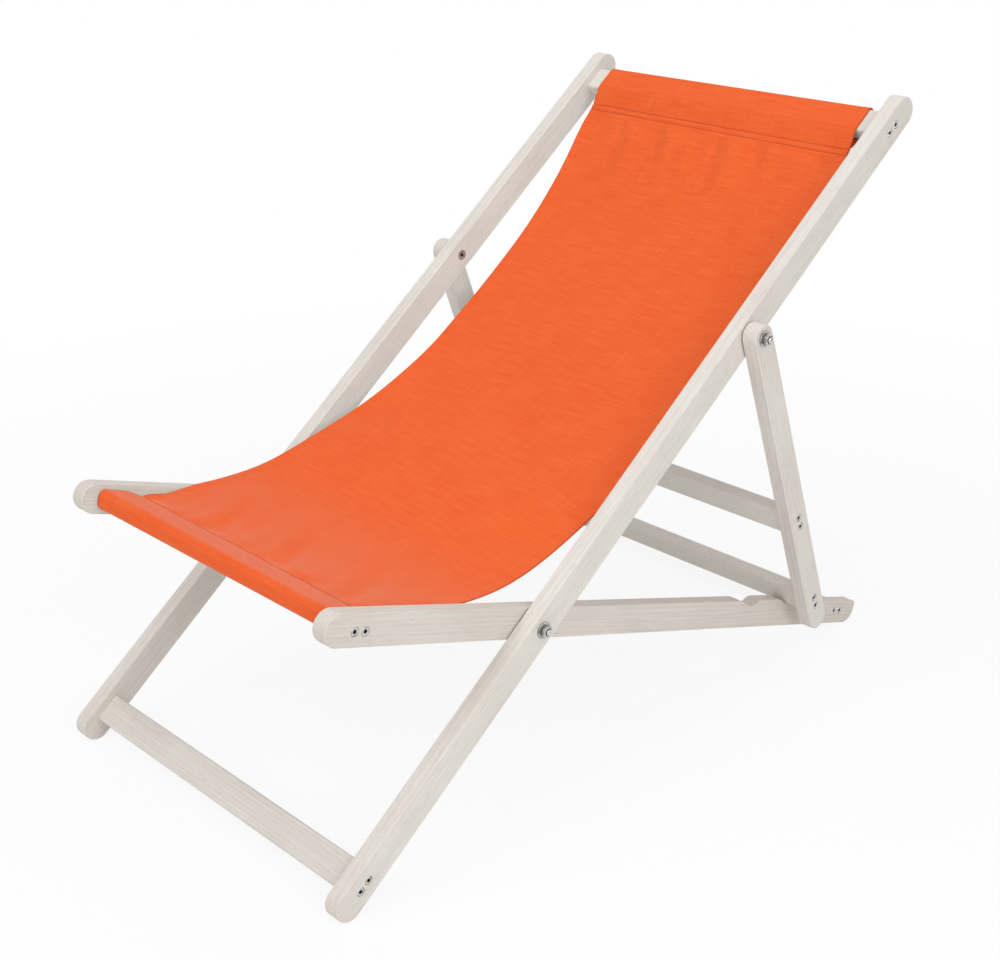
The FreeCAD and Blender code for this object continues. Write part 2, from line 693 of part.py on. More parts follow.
def build():
    """Build every piece of the chair and return the finished objects."""
    pieces = []
    for side in (LEFT, RIGHT):
        pieces += [back_rail(side), seat_rail(side), prop_arm(side)]

    edge = "Sizes.cross_edge_radius"
    bar_edge = "Sizes.bar_edge_radius"
    battens = (
        ("foot_cross_rail", BACK_INNER, edge, stance.back_angle, FOOT_CROSS_AT, stance.foot),
        ("top_cross_rail", BACK_INNER, edge, stance.back_angle, TOP_CROSS_AT, stance.foot),
        ("seat_front_rail", SEAT_INNER, edge, stance.seat_angle, SEAT_FRONT_CROSS_AT, stance.toe),
        ("seat_rear_rail", SEAT_INNER, edge, stance.seat_angle, SEAT_REAR_CROSS_AT, stance.toe),
        ("prop_upper_rail", PROP_INNER, edge, stance.prop_angle, PROP_UPPER_AT, stance.prop_pivot),
        ("prop_locking_bar", PROP_INNER, bar_edge, stance.prop_angle, PROP_BAR_AT, stance.prop_pivot),
    )
    for label, half_span, radius, angle, station, origin in battens:
        place = lying(angle, number(station), origin)
        pieces.append(cross_rail(label, half_span, radius, place))

    bore = PIVOT_BORE
    fasteners = (
        pivot_bolt(),
        ring("spacer", "Sizes.washer_diameter", bore, "Sizes.frame_gap - Sizes.turning_gap"),
        ring("washer", "Sizes.washer_diameter", bore, "Sizes.washer_thickness"),
        pivot_nut(),
    )
    pieces += pivot_set("seat", fasteners, stance.seat_pivot, SEAT_INNER, SEAT_OUTER, BACK_OUTER)
    pieces += pivot_set("prop", fasteners, stance.prop_pivot, BACK_INNER, BACK_OUTER, PROP_OUTER)
    pieces.append(make_sling())
    doc.recompute()
    return pieces


def check(pieces):
    """Stop if any object of the document failed or any piece has no valid shape."""
    for item in doc.Objects:
        if "Invalid" in item.State or "Error" in item.State:
            raise RuntimeError(item.Name + " failed")
    for piece in pieces:
        if piece.Shape.isNull() or not piece.Shape.isValid():
            raise RuntimeError(piece.Label + " has no valid shape")


def write(pieces):
    """Write each piece to its own file."""
    os.makedirs("parts", exist_ok=True)
    for piece in pieces:
        piece.Shape.exportStep(f"parts/{piece.Label}.step")


chair = build()
check(chair)
write(chair)
print(f"back {math.degrees(stance.back_angle):.2f} deg, seat {math.degrees(stance.seat_angle):.2f} deg")
print(f"prop {math.degrees(stance.prop_angle):.2f} deg")
for name in ("seat_pivot", "prop_pivot"):
    print(name, [round(value, 3) for value in getattr(stance, name)])
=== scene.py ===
import json
import logging
import math
from dataclasses import dataclass, field
from enum import Enum
from typing import Callable, Sequence

import bmesh
import bpy
import numpy as np
from mathutils import Matrix, Vector


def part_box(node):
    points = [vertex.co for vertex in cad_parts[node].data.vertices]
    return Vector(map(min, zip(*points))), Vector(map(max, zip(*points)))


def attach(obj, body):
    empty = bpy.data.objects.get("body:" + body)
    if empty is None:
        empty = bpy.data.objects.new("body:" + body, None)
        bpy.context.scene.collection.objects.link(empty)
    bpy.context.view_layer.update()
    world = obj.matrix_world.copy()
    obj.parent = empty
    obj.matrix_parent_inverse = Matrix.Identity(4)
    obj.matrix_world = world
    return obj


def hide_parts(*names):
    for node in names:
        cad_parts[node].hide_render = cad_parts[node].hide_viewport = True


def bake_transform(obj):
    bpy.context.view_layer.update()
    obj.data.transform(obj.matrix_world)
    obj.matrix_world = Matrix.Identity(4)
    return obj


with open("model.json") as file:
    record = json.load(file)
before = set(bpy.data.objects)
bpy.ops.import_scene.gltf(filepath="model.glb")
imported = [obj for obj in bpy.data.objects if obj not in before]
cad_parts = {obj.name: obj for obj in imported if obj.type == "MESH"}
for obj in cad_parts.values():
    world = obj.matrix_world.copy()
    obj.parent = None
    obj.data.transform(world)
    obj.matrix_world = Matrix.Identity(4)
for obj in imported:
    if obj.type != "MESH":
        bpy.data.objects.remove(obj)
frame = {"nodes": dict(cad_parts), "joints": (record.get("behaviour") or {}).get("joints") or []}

# Folding sun lounger: limed wooden frames, zinc pivots and screws, and an orange canvas sling.
# Metres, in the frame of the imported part: +X is the sitter's left, -Y the front, +Z up.

LOG = logging.getLogger("sun_lounger")
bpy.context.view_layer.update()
MM = 0.001
LATERAL = Vector((1.0, 0.0, 0.0))

Colour = tuple[float, float, float, float]
Spot = tuple[float, float, float]
Range = tuple[float, float]
Radius = float | Callable[[float], float]
Rounding = tuple[np.ndarray, float]
Bumps = tuple[tuple[float, float, float], ...]
Ripples = tuple[tuple[float, float], ...]


class Slot(Enum):
    """Material slots of the part's record."""

    WOOD = "limed_wood"
    STEEL = "zinc_steel"
    CANVAS = "orange_canvas"


class Lie(Enum):
    """How a board's grain runs."""

    SIDE = "along the frame"
    CROSS = "across the chair"


def from_srgb(red: int, green: int, blue: int) -> Colour:
    """Turn a colour of 0 to 255 per channel into a linear colour.

    Args:
        red, green, blue: the channels as a picture shows them.

    Returns:
        The linear colour with full opacity.
    """
    def linear(channel: int) -> float:
        """Undo the display curve of one channel."""
        share = channel / 255
        return share / 12.92 if share <= 0.04045 else ((share + 0.055) / 1.055) ** 2.4

    return (linear(red), linear(green), linear(blue), 1.0)


def bell(away: np.ndarray, wide: float) -> np.ndarray:
    """Return a bell curve, 1 in its middle, at a distance from it."""
    return np.exp(-((away / wide) ** 2))


def eased(share: np.ndarray | float) -> np.ndarray | float:
    """Let a share from 0 to 1 start and end gently."""
    return share**2 * (3 - 2 * share)


# Shader nodes


class Shading:
    """Adds and links the nodes of one material, group or world."""

    def __init__(self, tree: bpy.types.NodeTree) -> None:
        """Keep the tree that the nodes go into."""
        self.tree = tree

    @classmethod
    def afresh(cls, owner: bpy.types.Material | bpy.types.World) -> "Shading":
        """Start the node tree of a material or a world with nothing in it.

        Args:
            owner: the material or world.

        Returns:
            The shading helper of its tree.
        """
        owner.use_nodes = True
        owner.node_tree.nodes.clear()
        return cls(owner.node_tree)

    def feed(self, socket: bpy.types.NodeSocket, value: object) -> None:
        """Link a socket to an input, or set the input's constant.

        Args:
            socket: the input.
            value: the socket to link, or the constant.
        """
        if isinstance(value, bpy.types.NodeSocket):
            self.tree.links.new(value, socket)
        else:
            socket.default_value = value

    def add(self, kind: str, inputs: dict | None = None, **settings: object) -> bpy.types.Node:
        """Add a node.

        Args:
            kind: Blender's name of the node type.
            inputs: sockets or constants by the input's name or number.
            settings: properties of the node.

        Returns:
            The new node.
        """
        node = self.tree.nodes.new(kind)
        for key, value in settings.items():
            setattr(node, key, value)
        for key, value in (inputs or {}).items():
            self.feed(node.inputs[key], value)
        return node

    def calc(self, operation: str, first: object, second: object = 0.0) -> bpy.types.NodeSocket:
        """Work out one sum of two values."""
        return self.add("ShaderNodeMath", {0: first, 1: second}, operation=operation).outputs[0]

    def scaled(self, value: object, factor: object) -> bpy.types.NodeSocket:
        """Multiply a value by a factor."""
        return self.calc("MULTIPLY", value, factor)

    def total(self, first: object, *others: object) -> bpy.types.NodeSocket:
        """Add up values.

        Args:
            first: the first value.
            others: the values to add to it, in order.

        Returns:
            Their sum.
        """
        for other in others:
            first = self.calc("ADD", first, other)
        return first

    def mix(self, share: object, first: object, second: object) -> bpy.types.NodeSocket:
        """Mix two colours by a share."""
        return self.add("ShaderNodeMix", {0: share, 6: first, 7: second}, data_type="RGBA").outputs[2]

    def ramp(self, value: object, low: float, high: float, start: float = 0.0,
             end: float = 1.0) -> bpy.types.NodeSocket:
        """Stretch the part of a value between low and high to the range from start to end."""
        inputs = {"Value": value, "From Min": low, "From Max": high, "To Min": start, "To Max": end}
        return self.add("ShaderNodeMapRange", inputs).outputs[0]

    def noise(self, place: object, stretch: Spot, detail: float) -> bpy.types.NodeSocket:
        """Add noise whose grains are stretched per axis.

        Args:
            place: where the noise is looked up.
            stretch: repeats per metre along each axis.
            detail: how many finer layers the noise has.

        Returns:
            The noise as a value.
        """
        mapped = self.add("ShaderNodeMapping", {"Vector": place, "Scale": stretch})
        inputs = {"Vector": mapped.outputs[0], "Scale": 1.0, "Detail": detail}
        return self.add("ShaderNodeTexNoise", inputs).outputs[0]

    def attribute(self, name: str, output: str = "Fac") -> bpy.types.NodeSocket:
        """Read an attribute of the mesh."""
        return self.add("ShaderNodeAttribute", attribute_name=name).outputs[output]

    def place(self) -> bpy.types.NodeSocket:
        """Return the Object coordinates, which are the chair's own."""
        return self.add("ShaderNodeTexCoord").outputs["Object"]

    def axes(self, place: object) -> Sequence[bpy.types.NodeSocket]:
        """Take a place apart into its three axes."""
        return self.add("ShaderNodeSeparateXYZ", {"Vector": place}).outputs

    def group(self, tree: bpy.types.NodeTree, inputs: dict) -> Sequence[bpy.types.NodeSocket]:
        """Put in a node group and return its outputs."""
        return self.add("ShaderNodeGroup", inputs, node_tree=tree).outputs

    def bump(self, height: object, strength: float, distance: float) -> bpy.types.NodeSocket:
        """Turn a height into a normal."""
        inputs = {"Height": height, "Strength": strength, "Distance": distance}
        return self.add("ShaderNodeBump", inputs).outputs[0]

    def wave(self, turns: object) -> bpy.types.NodeSocket:
        """Return a sine wave at a number of turns."""
        return self.calc("SINE", self.scaled(turns, math.tau))


def new_group(name: str, inputs: dict[str, str], outputs: Sequence[str]) -> tuple[Shading, dict, dict]:
    """Start a shader node group.

    Args:
        name: the group's name.
        inputs: socket types by input name.
        outputs: names of the value outputs.

    Returns:
        The shading helper, the group's inputs and the group's output sockets, by name.
    """
    tree = bpy.data.node_groups.new(name, "ShaderNodeTree")
    for key, kind in inputs.items():
        tree.interface.new_socket(name=key, in_out="INPUT", socket_type=kind)
    for key in outputs:
        tree.interface.new_socket(name=key, in_out="OUTPUT", socket_type="NodeSocketFloat")
    given = tree.nodes.new("NodeGroupInput")
    result = tree.nodes.new("NodeGroupOutput")
    sources = {key: given.outputs[key] for key in inputs}
    return Shading(tree), sources, {key: result.inputs[key] for key in outputs}


class Effects:
    """Shader node groups that more than one finish uses, with the stretch of their noise per metre."""

    SPECKS_PER_CLOUD = 22.0
    RING_WARP: Spot = (2.4, 13.0, 13.0)
    RING_DEPTH = 0.6
    SWAY = 30 * MM
    STREAKS: Spot = (9.0, 380.0, 380.0)
    PORES: Spot = (70.0, 1500.0, 1500.0)
    SLUBS: Spot = (22.0, 400.0, 1.0)
    DRIFT: Spot = (620.0, 18.0, 1.0)
    YARN_WANDER = 0.7
    WARP_HEIGHT = 0.35
    DRIFT_SHARE = 0.6

    def __init__(self) -> None:
        """Build each group once."""
        self.mottle = self.build_mottle()
        self.grain = self.build_grain()
        self.weave = self.build_weave()

    def build_mottle(self) -> bpy.types.NodeTree:
        """Build soft uneven tone with fine specks, as from handling and dust.

        Returns:
            The group's tree.
        """
        shading, given, result = new_group(
            "mottle", {"Place": "NodeSocketVector", "Scale": "NodeSocketFloat"}, ("Tone", "Specks")
        )
        for key, ratio, detail in (("Tone", 1.0, 3.0), ("Specks", self.SPECKS_PER_CLOUD, 2.0)):
            scale = shading.scaled(given["Scale"], ratio)
            inputs = {"Vector": given["Place"], "Scale": scale, "Detail": detail}
            cloud = shading.add("ShaderNodeTexNoise", inputs).outputs[0]
            shading.feed(result[key], shading.ramp(cloud, 0.3, 0.7))
        return shading.tree

    def build_grain(self) -> bpy.types.NodeTree:
        """Build wood grain on a place given along, across and through a board, in metres.

        Returns:
            The group's tree.
        """
        shading, given, result = new_group(
            "wood_grain",
            {"Place": "NodeSocketVector", "Ring Width": "NodeSocketFloat", "Wander": "NodeSocketFloat"},
            ("Rings", "Streaks", "Pores"),
        )
        warp = shading.noise(given["Place"], self.RING_WARP, 1.0)
        along, across, through = shading.axes(given["Place"])
        depth = shading.calc("ADD", across, shading.scaled(through, self.RING_DEPTH))
        offset = shading.calc("DIVIDE", depth, given["Ring Width"])
        turns = shading.calc("ADD", offset, shading.scaled(warp, given["Wander"]))
        shading.feed(result["Rings"], shading.ramp(shading.wave(turns), -0.2, 1.0))
        sway = shading.calc("ADD", across, shading.scaled(warp, self.SWAY))
        flow = shading.add("ShaderNodeCombineXYZ", {"X": along, "Y": sway, "Z": through}).outputs[0]
        streaks = shading.noise(flow, self.STREAKS, 3.0)
        shading.feed(result["Streaks"], shading.ramp(streaks, 0.36, 0.68))
        pores = shading.noise(flow, self.PORES, 1.0)
        shading.feed(result["Pores"], shading.ramp(pores, 0.6, 0.72))
        return shading.tree

    def build_weave(self) -> bpy.types.NodeTree:
        """Build a plain canvas weave on a place given across and along the cloth, in metres.

        Returns:
            The group's tree.
        """
        shading, given, result = new_group(
            "canvas_weave",
            {"Place": "NodeSocketVector", "Pitch": "NodeSocketFloat"},
            ("Height", "Yarns"),
        )
        axes = shading.axes(given["Place"])
        slubs = shading.noise(given["Place"], self.SLUBS, 2.0)
        drift = shading.noise(given["Place"], self.DRIFT, 2.0)
        waves = []
        for axis, uneven in ((0, drift), (1, slubs)):
            turns = shading.calc("DIVIDE", axes[axis], given["Pitch"])
            wander = shading.scaled(uneven, self.YARN_WANDER)
            waves.append(shading.wave(shading.calc("ADD", turns, wander)))
        warp = shading.scaled(waves[0], self.WARP_HEIGHT)
        shading.feed(result["Height"], shading.calc("ADD", warp, waves[1]))
        both = shading.calc("ADD", slubs, shading.scaled(drift, self.DRIFT_SHARE))
        shading.feed(result["Yarns"], shading.ramp(both, 0.55, 1.05))
        return shading.tree


class Finish:
    """Base of the finishes: a material with one Principled shader."""

    effects: Effects
    name: str

    def inputs(self, shading: Shading) -> dict[str, object]:
        """Return what the shader's inputs get, which each finish says for itself."""
        raise NotImplementedError

    def make(self) -> bpy.types.Material:
        """Build the material.

        Returns:
            The material, with the finish's inputs on its shader.
        """
        material = bpy.data.materials.new(self.name)
        shading = Shading.afresh(material)
        shader = shading.add("ShaderNodeBsdfPrincipled", self.inputs(shading))
        shading.add("ShaderNodeOutputMaterial", {"Surface": shader.outputs[0]})
        return material


@dataclass(frozen=True)
class LimedWood(Finish):
    """Pale wood whose grain is filled with white pigment."""

    effects: Effects
    name: str = "limed_wood"
    pale: Colour = from_srgb(230, 225, 218)
    warm: Colour = from_srgb(206, 195, 185)
    pore: Colour = from_srgb(184, 171, 158)
    ring_width: float = 5.5 * MM
    wander: float = 2.6
    cloud_scale: float = 9.0
    ring_share: float = 0.16
    streak_share: float = 0.28
    cloud_share: float = 0.3
    pore_share: float = 0.4
    roughness: Range = (0.46, 0.62)
    relief: float = 0.12 * MM
    relief_strength: float = 0.35
    specular: float = 0.35

    def inputs(self, shading: Shading) -> dict[str, object]:
        """Draw the grain on the places that the boards store as their attribute "grain".

        Args:
            shading: the material's nodes.

        Returns:
            The shader's inputs by name.
        """
        place = shading.attribute("grain", "Vector")
        grain = shading.group(self.effects.grain, {
            "Place": place,
            "Ring Width": self.ring_width,
            "Wander": self.wander,
        })
        cloud = shading.group(self.effects.mottle, {"Place": place, "Scale": self.cloud_scale})
        tone = shading.total(
            shading.scaled(grain["Rings"], self.ring_share),
            shading.scaled(grain["Streaks"], self.streak_share),
            shading.scaled(cloud["Tone"], self.cloud_share),
            shading.attribute("tint"),
        )
        colour = shading.mix(tone, self.pale, self.warm)
        pores = shading.scaled(grain["Pores"], self.pore_share)
        depth = shading.scaled(shading.calc("ADD", grain["Streaks"], grain["Pores"]), -1.0)
        return {
            "Base Color": shading.mix(pores, colour, self.pore),
            "Roughness": shading.ramp(grain["Streaks"], 0.0, 1.0, *self.roughness),
            "Normal": shading.bump(depth, self.relief_strength, self.relief),
            "Specular IOR Level": self.specular,
        }


@dataclass(frozen=True)
class ZincSteel(Finish):
    """Bright zinc plating with faint clouding, and painted shade in its recesses."""

    effects: Effects
    name: str = "zinc_steel"
    bright: Colour = from_srgb(230, 229, 227)
    dull: Colour = from_srgb(142, 142, 140)
    # painted shade: dark colour for sockets, bores, undersides and thread valleys, where shade falls
    painted_shade: Colour = from_srgb(46, 42, 38)
    shine: Range = (0.1, 0.26)
    cloud_scale: float = 260.0
    painted_shade_reach: float = 0.6
    painted_shade_roughness: float = 0.4
    painted_shade_metallic: float = 0.25
    relief: float = 0.05 * MM
    relief_strength: float = 0.12

    def inputs(self, shading: Shading) -> dict[str, object]:
        """Cloud the plating, and darken it by the attribute "recess" as painted shade.

        Args:
            shading: the material's nodes.

        Returns:
            The shader's inputs by name.
        """
        cloud = shading.group(self.effects.mottle, {"Place": shading.place(), "Scale": self.cloud_scale})
        colour = shading.mix(cloud["Tone"], self.bright, self.dull)
        # painted shade: where "recess" is marked, the colour darkens and the metal turns matt
        recess = shading.ramp(shading.attribute("recess"), 0.0, self.painted_shade_reach)
        shine = shading.ramp(cloud["Tone"], 0.0, 1.0, *self.shine)
        return {
            "Base Color": shading.mix(recess, colour, self.painted_shade),
            "Roughness": shading.calc("ADD", shine, shading.scaled(recess, self.painted_shade_roughness)),
            "Metallic": shading.ramp(recess, 0.0, 0.25, 1.0, self.painted_shade_metallic),
            "Normal": shading.bump(cloud["Specks"], self.relief_strength, self.relief),
        }


@dataclass(frozen=True)
class OrangeCanvas(Finish):
    """Plain woven canvas, dyed orange, with a soft sheen."""

    effects: Effects
    name: str = "orange_canvas"
    ground: Colour = from_srgb(243, 95, 38)
    light: Colour = from_srgb(250, 120, 64)
    deep: Colour = from_srgb(228, 80, 28)
    shadow: Colour = from_srgb(176, 52, 16)
    cast: Colour = from_srgb(226, 222, 216)
    sheen_tint: Colour = from_srgb(255, 226, 214)
    pitch: float = 1.3 * MM
    cloud_scale: float = 12.0
    yarn_share: float = 0.95
    gap_shade_share: float = 0.6
    cloud_share: float = 0.14
    crease_shade_share: float = 0.45
    cast_share: float = 0.95
    roughness: Range = (0.72, 0.88)
    relief: float = 0.25 * MM
    relief_strength: float = 0.5
    specular: float = 0.18
    sheen: float = 0.45
    sheen_roughness: float = 0.22

    def inputs(self, shading: Shading) -> dict[str, object]:
        """Weave the cloth on its own UV map, which is in metres, and let it scatter nearly neutral light.

        Args:
            shading: the material's nodes.

        Returns:
            The shader's inputs by name.
        """
        place = shading.add("ShaderNodeUVMap", uv_map="cloth").outputs[0]
        weave = shading.group(self.effects.weave, {"Place": place, "Pitch": self.pitch})
        cloud = shading.group(self.effects.mottle, {"Place": place, "Scale": self.cloud_scale})
        scattered = shading.add("ShaderNodeLightPath").outputs["Is Diffuse Ray"]
        colour: object = self.ground
        for share, tone in (
            (shading.scaled(weave["Yarns"], self.yarn_share), self.light),
            # painted shade between the yarns, deeper where the weave is low
            (shading.ramp(weave["Height"], -1.2, 0.2, self.gap_shade_share, 0.0), self.deep),
            (shading.scaled(cloud["Tone"], self.cloud_share), self.deep),
            # painted shade along the stitch rows and the side edges, from the attribute "crease"
            (shading.scaled(shading.attribute("crease"), self.crease_shade_share), self.shadow),
            (shading.scaled(scattered, self.cast_share), self.cast),
        ):
            colour = shading.mix(share, colour, tone)
        return {
            "Base Color": colour,
            "Roughness": shading.ramp(weave["Yarns"], 0.0, 1.0, *self.roughness),
            "Normal": shading.bump(weave["Height"], self.relief_strength, self.relief),
            "Specular IOR Level": self.specular,
            "Sheen Weight": self.sheen,
            "Sheen Roughness": self.sheen_roughness,
            "Sheen Tint": self.sheen_tint,
        }


@dataclass(frozen=True)
class SewingThread(Finish):
    """Twisted polyester thread, darker than the cloth; its darkness is partly painted shade along the
    stitch lines.
    """

    effects: Effects
    name: str = "sewing_thread"
    # the deep ground is partly painted shade along the stitch lines
    ground: Colour = from_srgb(196, 66, 26)
    light: Colour = from_srgb(222, 86, 42)
    cloud_scale: float = 900.0
    roughness: Range = (0.45, 0.65)

    def inputs(self, shading: Shading) -> dict[str, object]:
        """Cloud the thread's colour.

        Args:
            shading: the material's nodes.

        Returns:
            The shader's inputs by name.
        """
        cloud = shading.group(self.effects.mottle, {"Place": shading.place(), "Scale": self.cloud_scale})
        return {
            "Base Color": shading.mix(cloud["Tone"], self.ground, self.light),
            "Roughness": shading.ramp(cloud["Specks"], 0.0, 1.0, *self.roughness),
        }


@dataclass(frozen=True)
class Finishes:
    """All finishes of the chair, made once."""

    wood: bpy.types.Material
    steel: bpy.types.Material
    canvas: bpy.types.Material
    thread: bpy.types.Material

    @classmethod
    def make_all(cls) -> "Finishes":
        """Make every finish with the shared effects."""
        effects = Effects()
        return cls(*(kind(effects).make() for kind in (LimedWood, ZincSteel, OrangeCanvas, SewingThread)))


# Meshes


def as_object(name: str, mesh: bpy.types.Mesh) -> bpy.types.Object:
    """Put a mesh into the scene.

    Args:
        name: name of the object.
        mesh: the mesh.

    Returns:
        The object, at the origin.
    """
    item = bpy.data.objects.new(name, mesh)
    bpy.context.scene.collection.objects.link(item)
    return item


def finished_mesh(item: bpy.types.Object) -> bpy.types.Mesh:
    """Replace an object's mesh by what its modifiers make of it, and drop the modifiers.

    Args:
        item: the object.

    Returns:
        Its new, plain mesh.
    """
    bpy.context.view_layer.update()
    evaluated = item.evaluated_get(bpy.context.evaluated_depsgraph_get())
    mesh = bpy.data.meshes.new_from_object(evaluated)
    item.modifiers.clear()
    item.data = mesh
    mesh.name = item.name
    return mesh


def discard(item: bpy.types.Object) -> None:
    """Take a helper object and its mesh out of the scene.

    Args:
        item: the object.
    """
    mesh = item.data
    bpy.data.objects.remove(item)
    bpy.data.meshes.remove(mesh)


def dressed(item: bpy.types.Object, finish: bpy.types.Material) -> None:
    """Give a piece its finish, and log its triangle count.

    Args:
        item: the piece.
        finish: its material.
    """
    item.data.materials.clear()
    item.data.materials.append(finish)
    triangles = sum(len(face.vertices) - 2 for face in item.data.polygons)
    LOG.info("%s: %d triangles", item.name, triangles)


def shaded(mesh: bpy.types.Mesh, crease: float) -> bpy.types.Mesh:
    """Shade a mesh smooth apart from its sharp edges.

    Args:
        mesh: the mesh.
        crease: least angle of a sharp edge, in degrees.

    Returns:
        The same mesh.
    """
    mesh.shade_smooth()
    mesh.set_sharp_from_angle(angle=math.radians(crease))
    return mesh


def mark(mesh: bpy.types.Mesh, name: str, values: Sequence) -> None:
    """Store an attribute on the points of a mesh.

    Args:
        mesh: the mesh.
        name: name of the attribute.
        values: a number or a vector for each point.
    """
    table = np.asarray(values, np.float32)
    kind, key = ("FLOAT", "value") if table.ndim == 1 else ("FLOAT_VECTOR", "vector")
    mesh.attributes.new(name, kind, "POINT").data.foreach_set(key, table.ravel())


def lofted(name: str, strands: Sequence[Sequence[Sequence[Spot]]], closed: bool = False) -> bpy.types.Mesh:
    """Stretch a skin over rings of points.

    Args:
        name: name of the mesh.
        strands: the rings of each separate shape, in order, with as many points on each ring.
        closed: whether the last ring joins the first, as in a nut.

    Returns:
        The mesh, closed by flat caps at its ends where it isn't closed on itself.
    """
    shape = bmesh.new()
    for rings in strands:
        loops = [[shape.verts.new(spot) for spot in ring] for ring in rings]
        count = len(loops[0])
        for lower, upper in zip(loops, loops[1:] + (loops[:1] if closed else [])):
            for i in range(count):
                following = (i + 1) % count
                shape.faces.new((lower[i], lower[following], upper[following], upper[i]))
        if not closed:
            shape.faces.new(loops[0])
            shape.faces.new(loops[-1])
    bmesh.ops.recalc_face_normals(shape, faces=shape.faces)
    mesh = bpy.data.meshes.new(name)
    shape.to_mesh(mesh)
    shape.free()
    return mesh


def at_angle(radius: Radius, angle: float) -> float:
    """Return a radius that may depend on the angle."""
    return radius(angle) if callable(radius) else radius


def turned(name: str, rings: Sequence[tuple[Radius, Radius]], steps: int, closed: bool = False,
           painted_shade: Sequence[float] = ()) -> bpy.types.Mesh:
    """Build a shape round the Z axis.

    Args:
        name: name of the mesh.
        rings: radius and height of each ring, as numbers or as functions of the angle.
        steps: points on each ring.
        closed: whether the last ring joins the first, as in a nut.
        painted_shade: how dark each ring is painted, as shade in its hollows, from 0 to 1, stored as the
            attribute "recess".

    Returns:
        The mesh, with its edges shaded sharp.
    """
    angles = [math.tau * i / steps for i in range(steps)]
    loops = []
    for radius, height in rings:
        loops.append([
            (
                at_angle(radius, angle) * math.cos(angle),
                at_angle(radius, angle) * math.sin(angle),
                at_angle(height, angle),
            )
            for angle in angles
        ])
    mesh = lofted(name, [loops], closed)
    if painted_shade:
        mark(mesh, "recess", np.repeat(painted_shade, steps))
    return shaded(mesh, 32.0)


def hexagon(across: float) -> Callable[[float], float]:
    """Return the radius of a hexagon as a function of the angle.

    Args:
        across: distance across the hexagon's flats.

    Returns:
        The function.
    """
    def radius(angle: float) -> float:
        """Return the distance from the middle to the hexagon's side at an angle."""
        return across / 2 / math.cos((angle + math.pi / 6) % (math.pi / 3) - math.pi / 6)

    return radius


class PlacedCopies:
    """A Geometry Nodes tree that sets one shape on many places and joins the copies into one mesh."""

    INPUTS = {
        "Shape": "NodeSocketObject",
        "Uneven Size": "NodeSocketFloat",
        "Spin": "NodeSocketFloat",
        "Seed": "NodeSocketInt",
        "Finish": "NodeSocketMaterial",
    }

    def __init__(self) -> None:
        """Build the tree once."""
        self.tree = bpy.data.node_groups.new("placed_copies", "GeometryNodeTree")
        face = self.tree.interface
        face.new_socket(name="Geometry", in_out="INPUT", socket_type="NodeSocketGeometry")
        self.sockets = {
            name: face.new_socket(name=name, in_out="INPUT", socket_type=kind).identifier
            for name, kind in self.INPUTS.items()
        }
        face.new_socket(name="Geometry", in_out="OUTPUT", socket_type="NodeSocketGeometry")
        self.link_nodes()

    def link_nodes(self) -> None:
        """Add and link the tree's nodes."""
        shading = Shading(self.tree)
        given = shading.add("NodeGroupInput").outputs
        turn = shading.add("GeometryNodeInputNamedAttribute", data_type="FLOAT_VECTOR")
        turn.inputs["Name"].default_value = "turn"
        rotation = shading.add("FunctionNodeEulerToRotation", {"Euler": turn.outputs["Attribute"]})
        least = shading.calc("SUBTRACT", 1.0, given["Uneven Size"])
        most = shading.calc("ADD", 1.0, given["Uneven Size"])
        shape = shading.add("GeometryNodeObjectInfo", {"Object": given["Shape"]})
        placed = shading.add("GeometryNodeInstanceOnPoints", {
            "Points": given["Geometry"],
            "Instance": shape.outputs["Geometry"],
            "Rotation": rotation.outputs[0],
            "Scale": self.random(shading, least, most, given["Seed"]),
        })
        back = shading.scaled(given["Spin"], -1.0)
        spin = self.random(shading, back, given["Spin"], shading.calc("ADD", given["Seed"], 1.0))
        about = shading.add("ShaderNodeCombineXYZ", {"Z": spin})
        spun = shading.add("GeometryNodeRotateInstances", {
            "Instances": placed.outputs[0],
            "Rotation": about.outputs[0],
        })
        real = shading.add("GeometryNodeRealizeInstances", {"Geometry": spun.outputs[0]})
        finish = shading.add("GeometryNodeSetMaterial", {
            "Geometry": real.outputs[0],
            "Material": given["Finish"],
        })
        shading.add("NodeGroupOutput", {"Geometry": finish.outputs[0]})

    @staticmethod
    def random(shading: Shading, least: object, most: object, seed: object) -> bpy.types.NodeSocket:
        """Add a random value between two limits, with a fixed seed."""
        limits = {2: least, 3: most, "Seed": seed}
        return shading.add("FunctionNodeRandomValue", limits, data_type="FLOAT").outputs[1]

    def make(self, name: str, shape: bpy.types.Mesh, places: Sequence[Matrix], finish: bpy.types.Material,
             uneven: float = 0.0, spin: float = 0.0, seed: int = 1) -> bpy.types.Object:
        """Make one piece of many copies.

        Args:
            name: name of the piece.
            shape: mesh of one copy, about its own origin.
            places: where each copy goes and how it is turned.
            finish: material of the copies.
            uneven: how much the copies differ in size, as a share.
            spin: most that a copy is turned about its own Z axis, in radians.
            seed: fixed seed of the uneven size and turn.

        Returns:
            The piece, with a plain mesh at the origin.
        """
        points = bpy.data.meshes.new(name)
        points.from_pydata([place.translation for place in places], [], [])
        mark(points, "turn", [tuple(place.to_euler()) for place in places])
        pattern = as_object(name + "_pattern", shape)
        piece = as_object(name, points)
        modifier = piece.modifiers.new("copies", "NODES")
        modifier.node_group = self.tree
        values = {"Shape": pattern, "Uneven Size": uneven, "Spin": spin, "Seed": seed, "Finish": finish}
        for key, value in values.items():
            modifier[self.sockets[key]] = value
        finished_mesh(piece)
        bpy.data.meshes.remove(points)
        discard(pattern)
        return piece


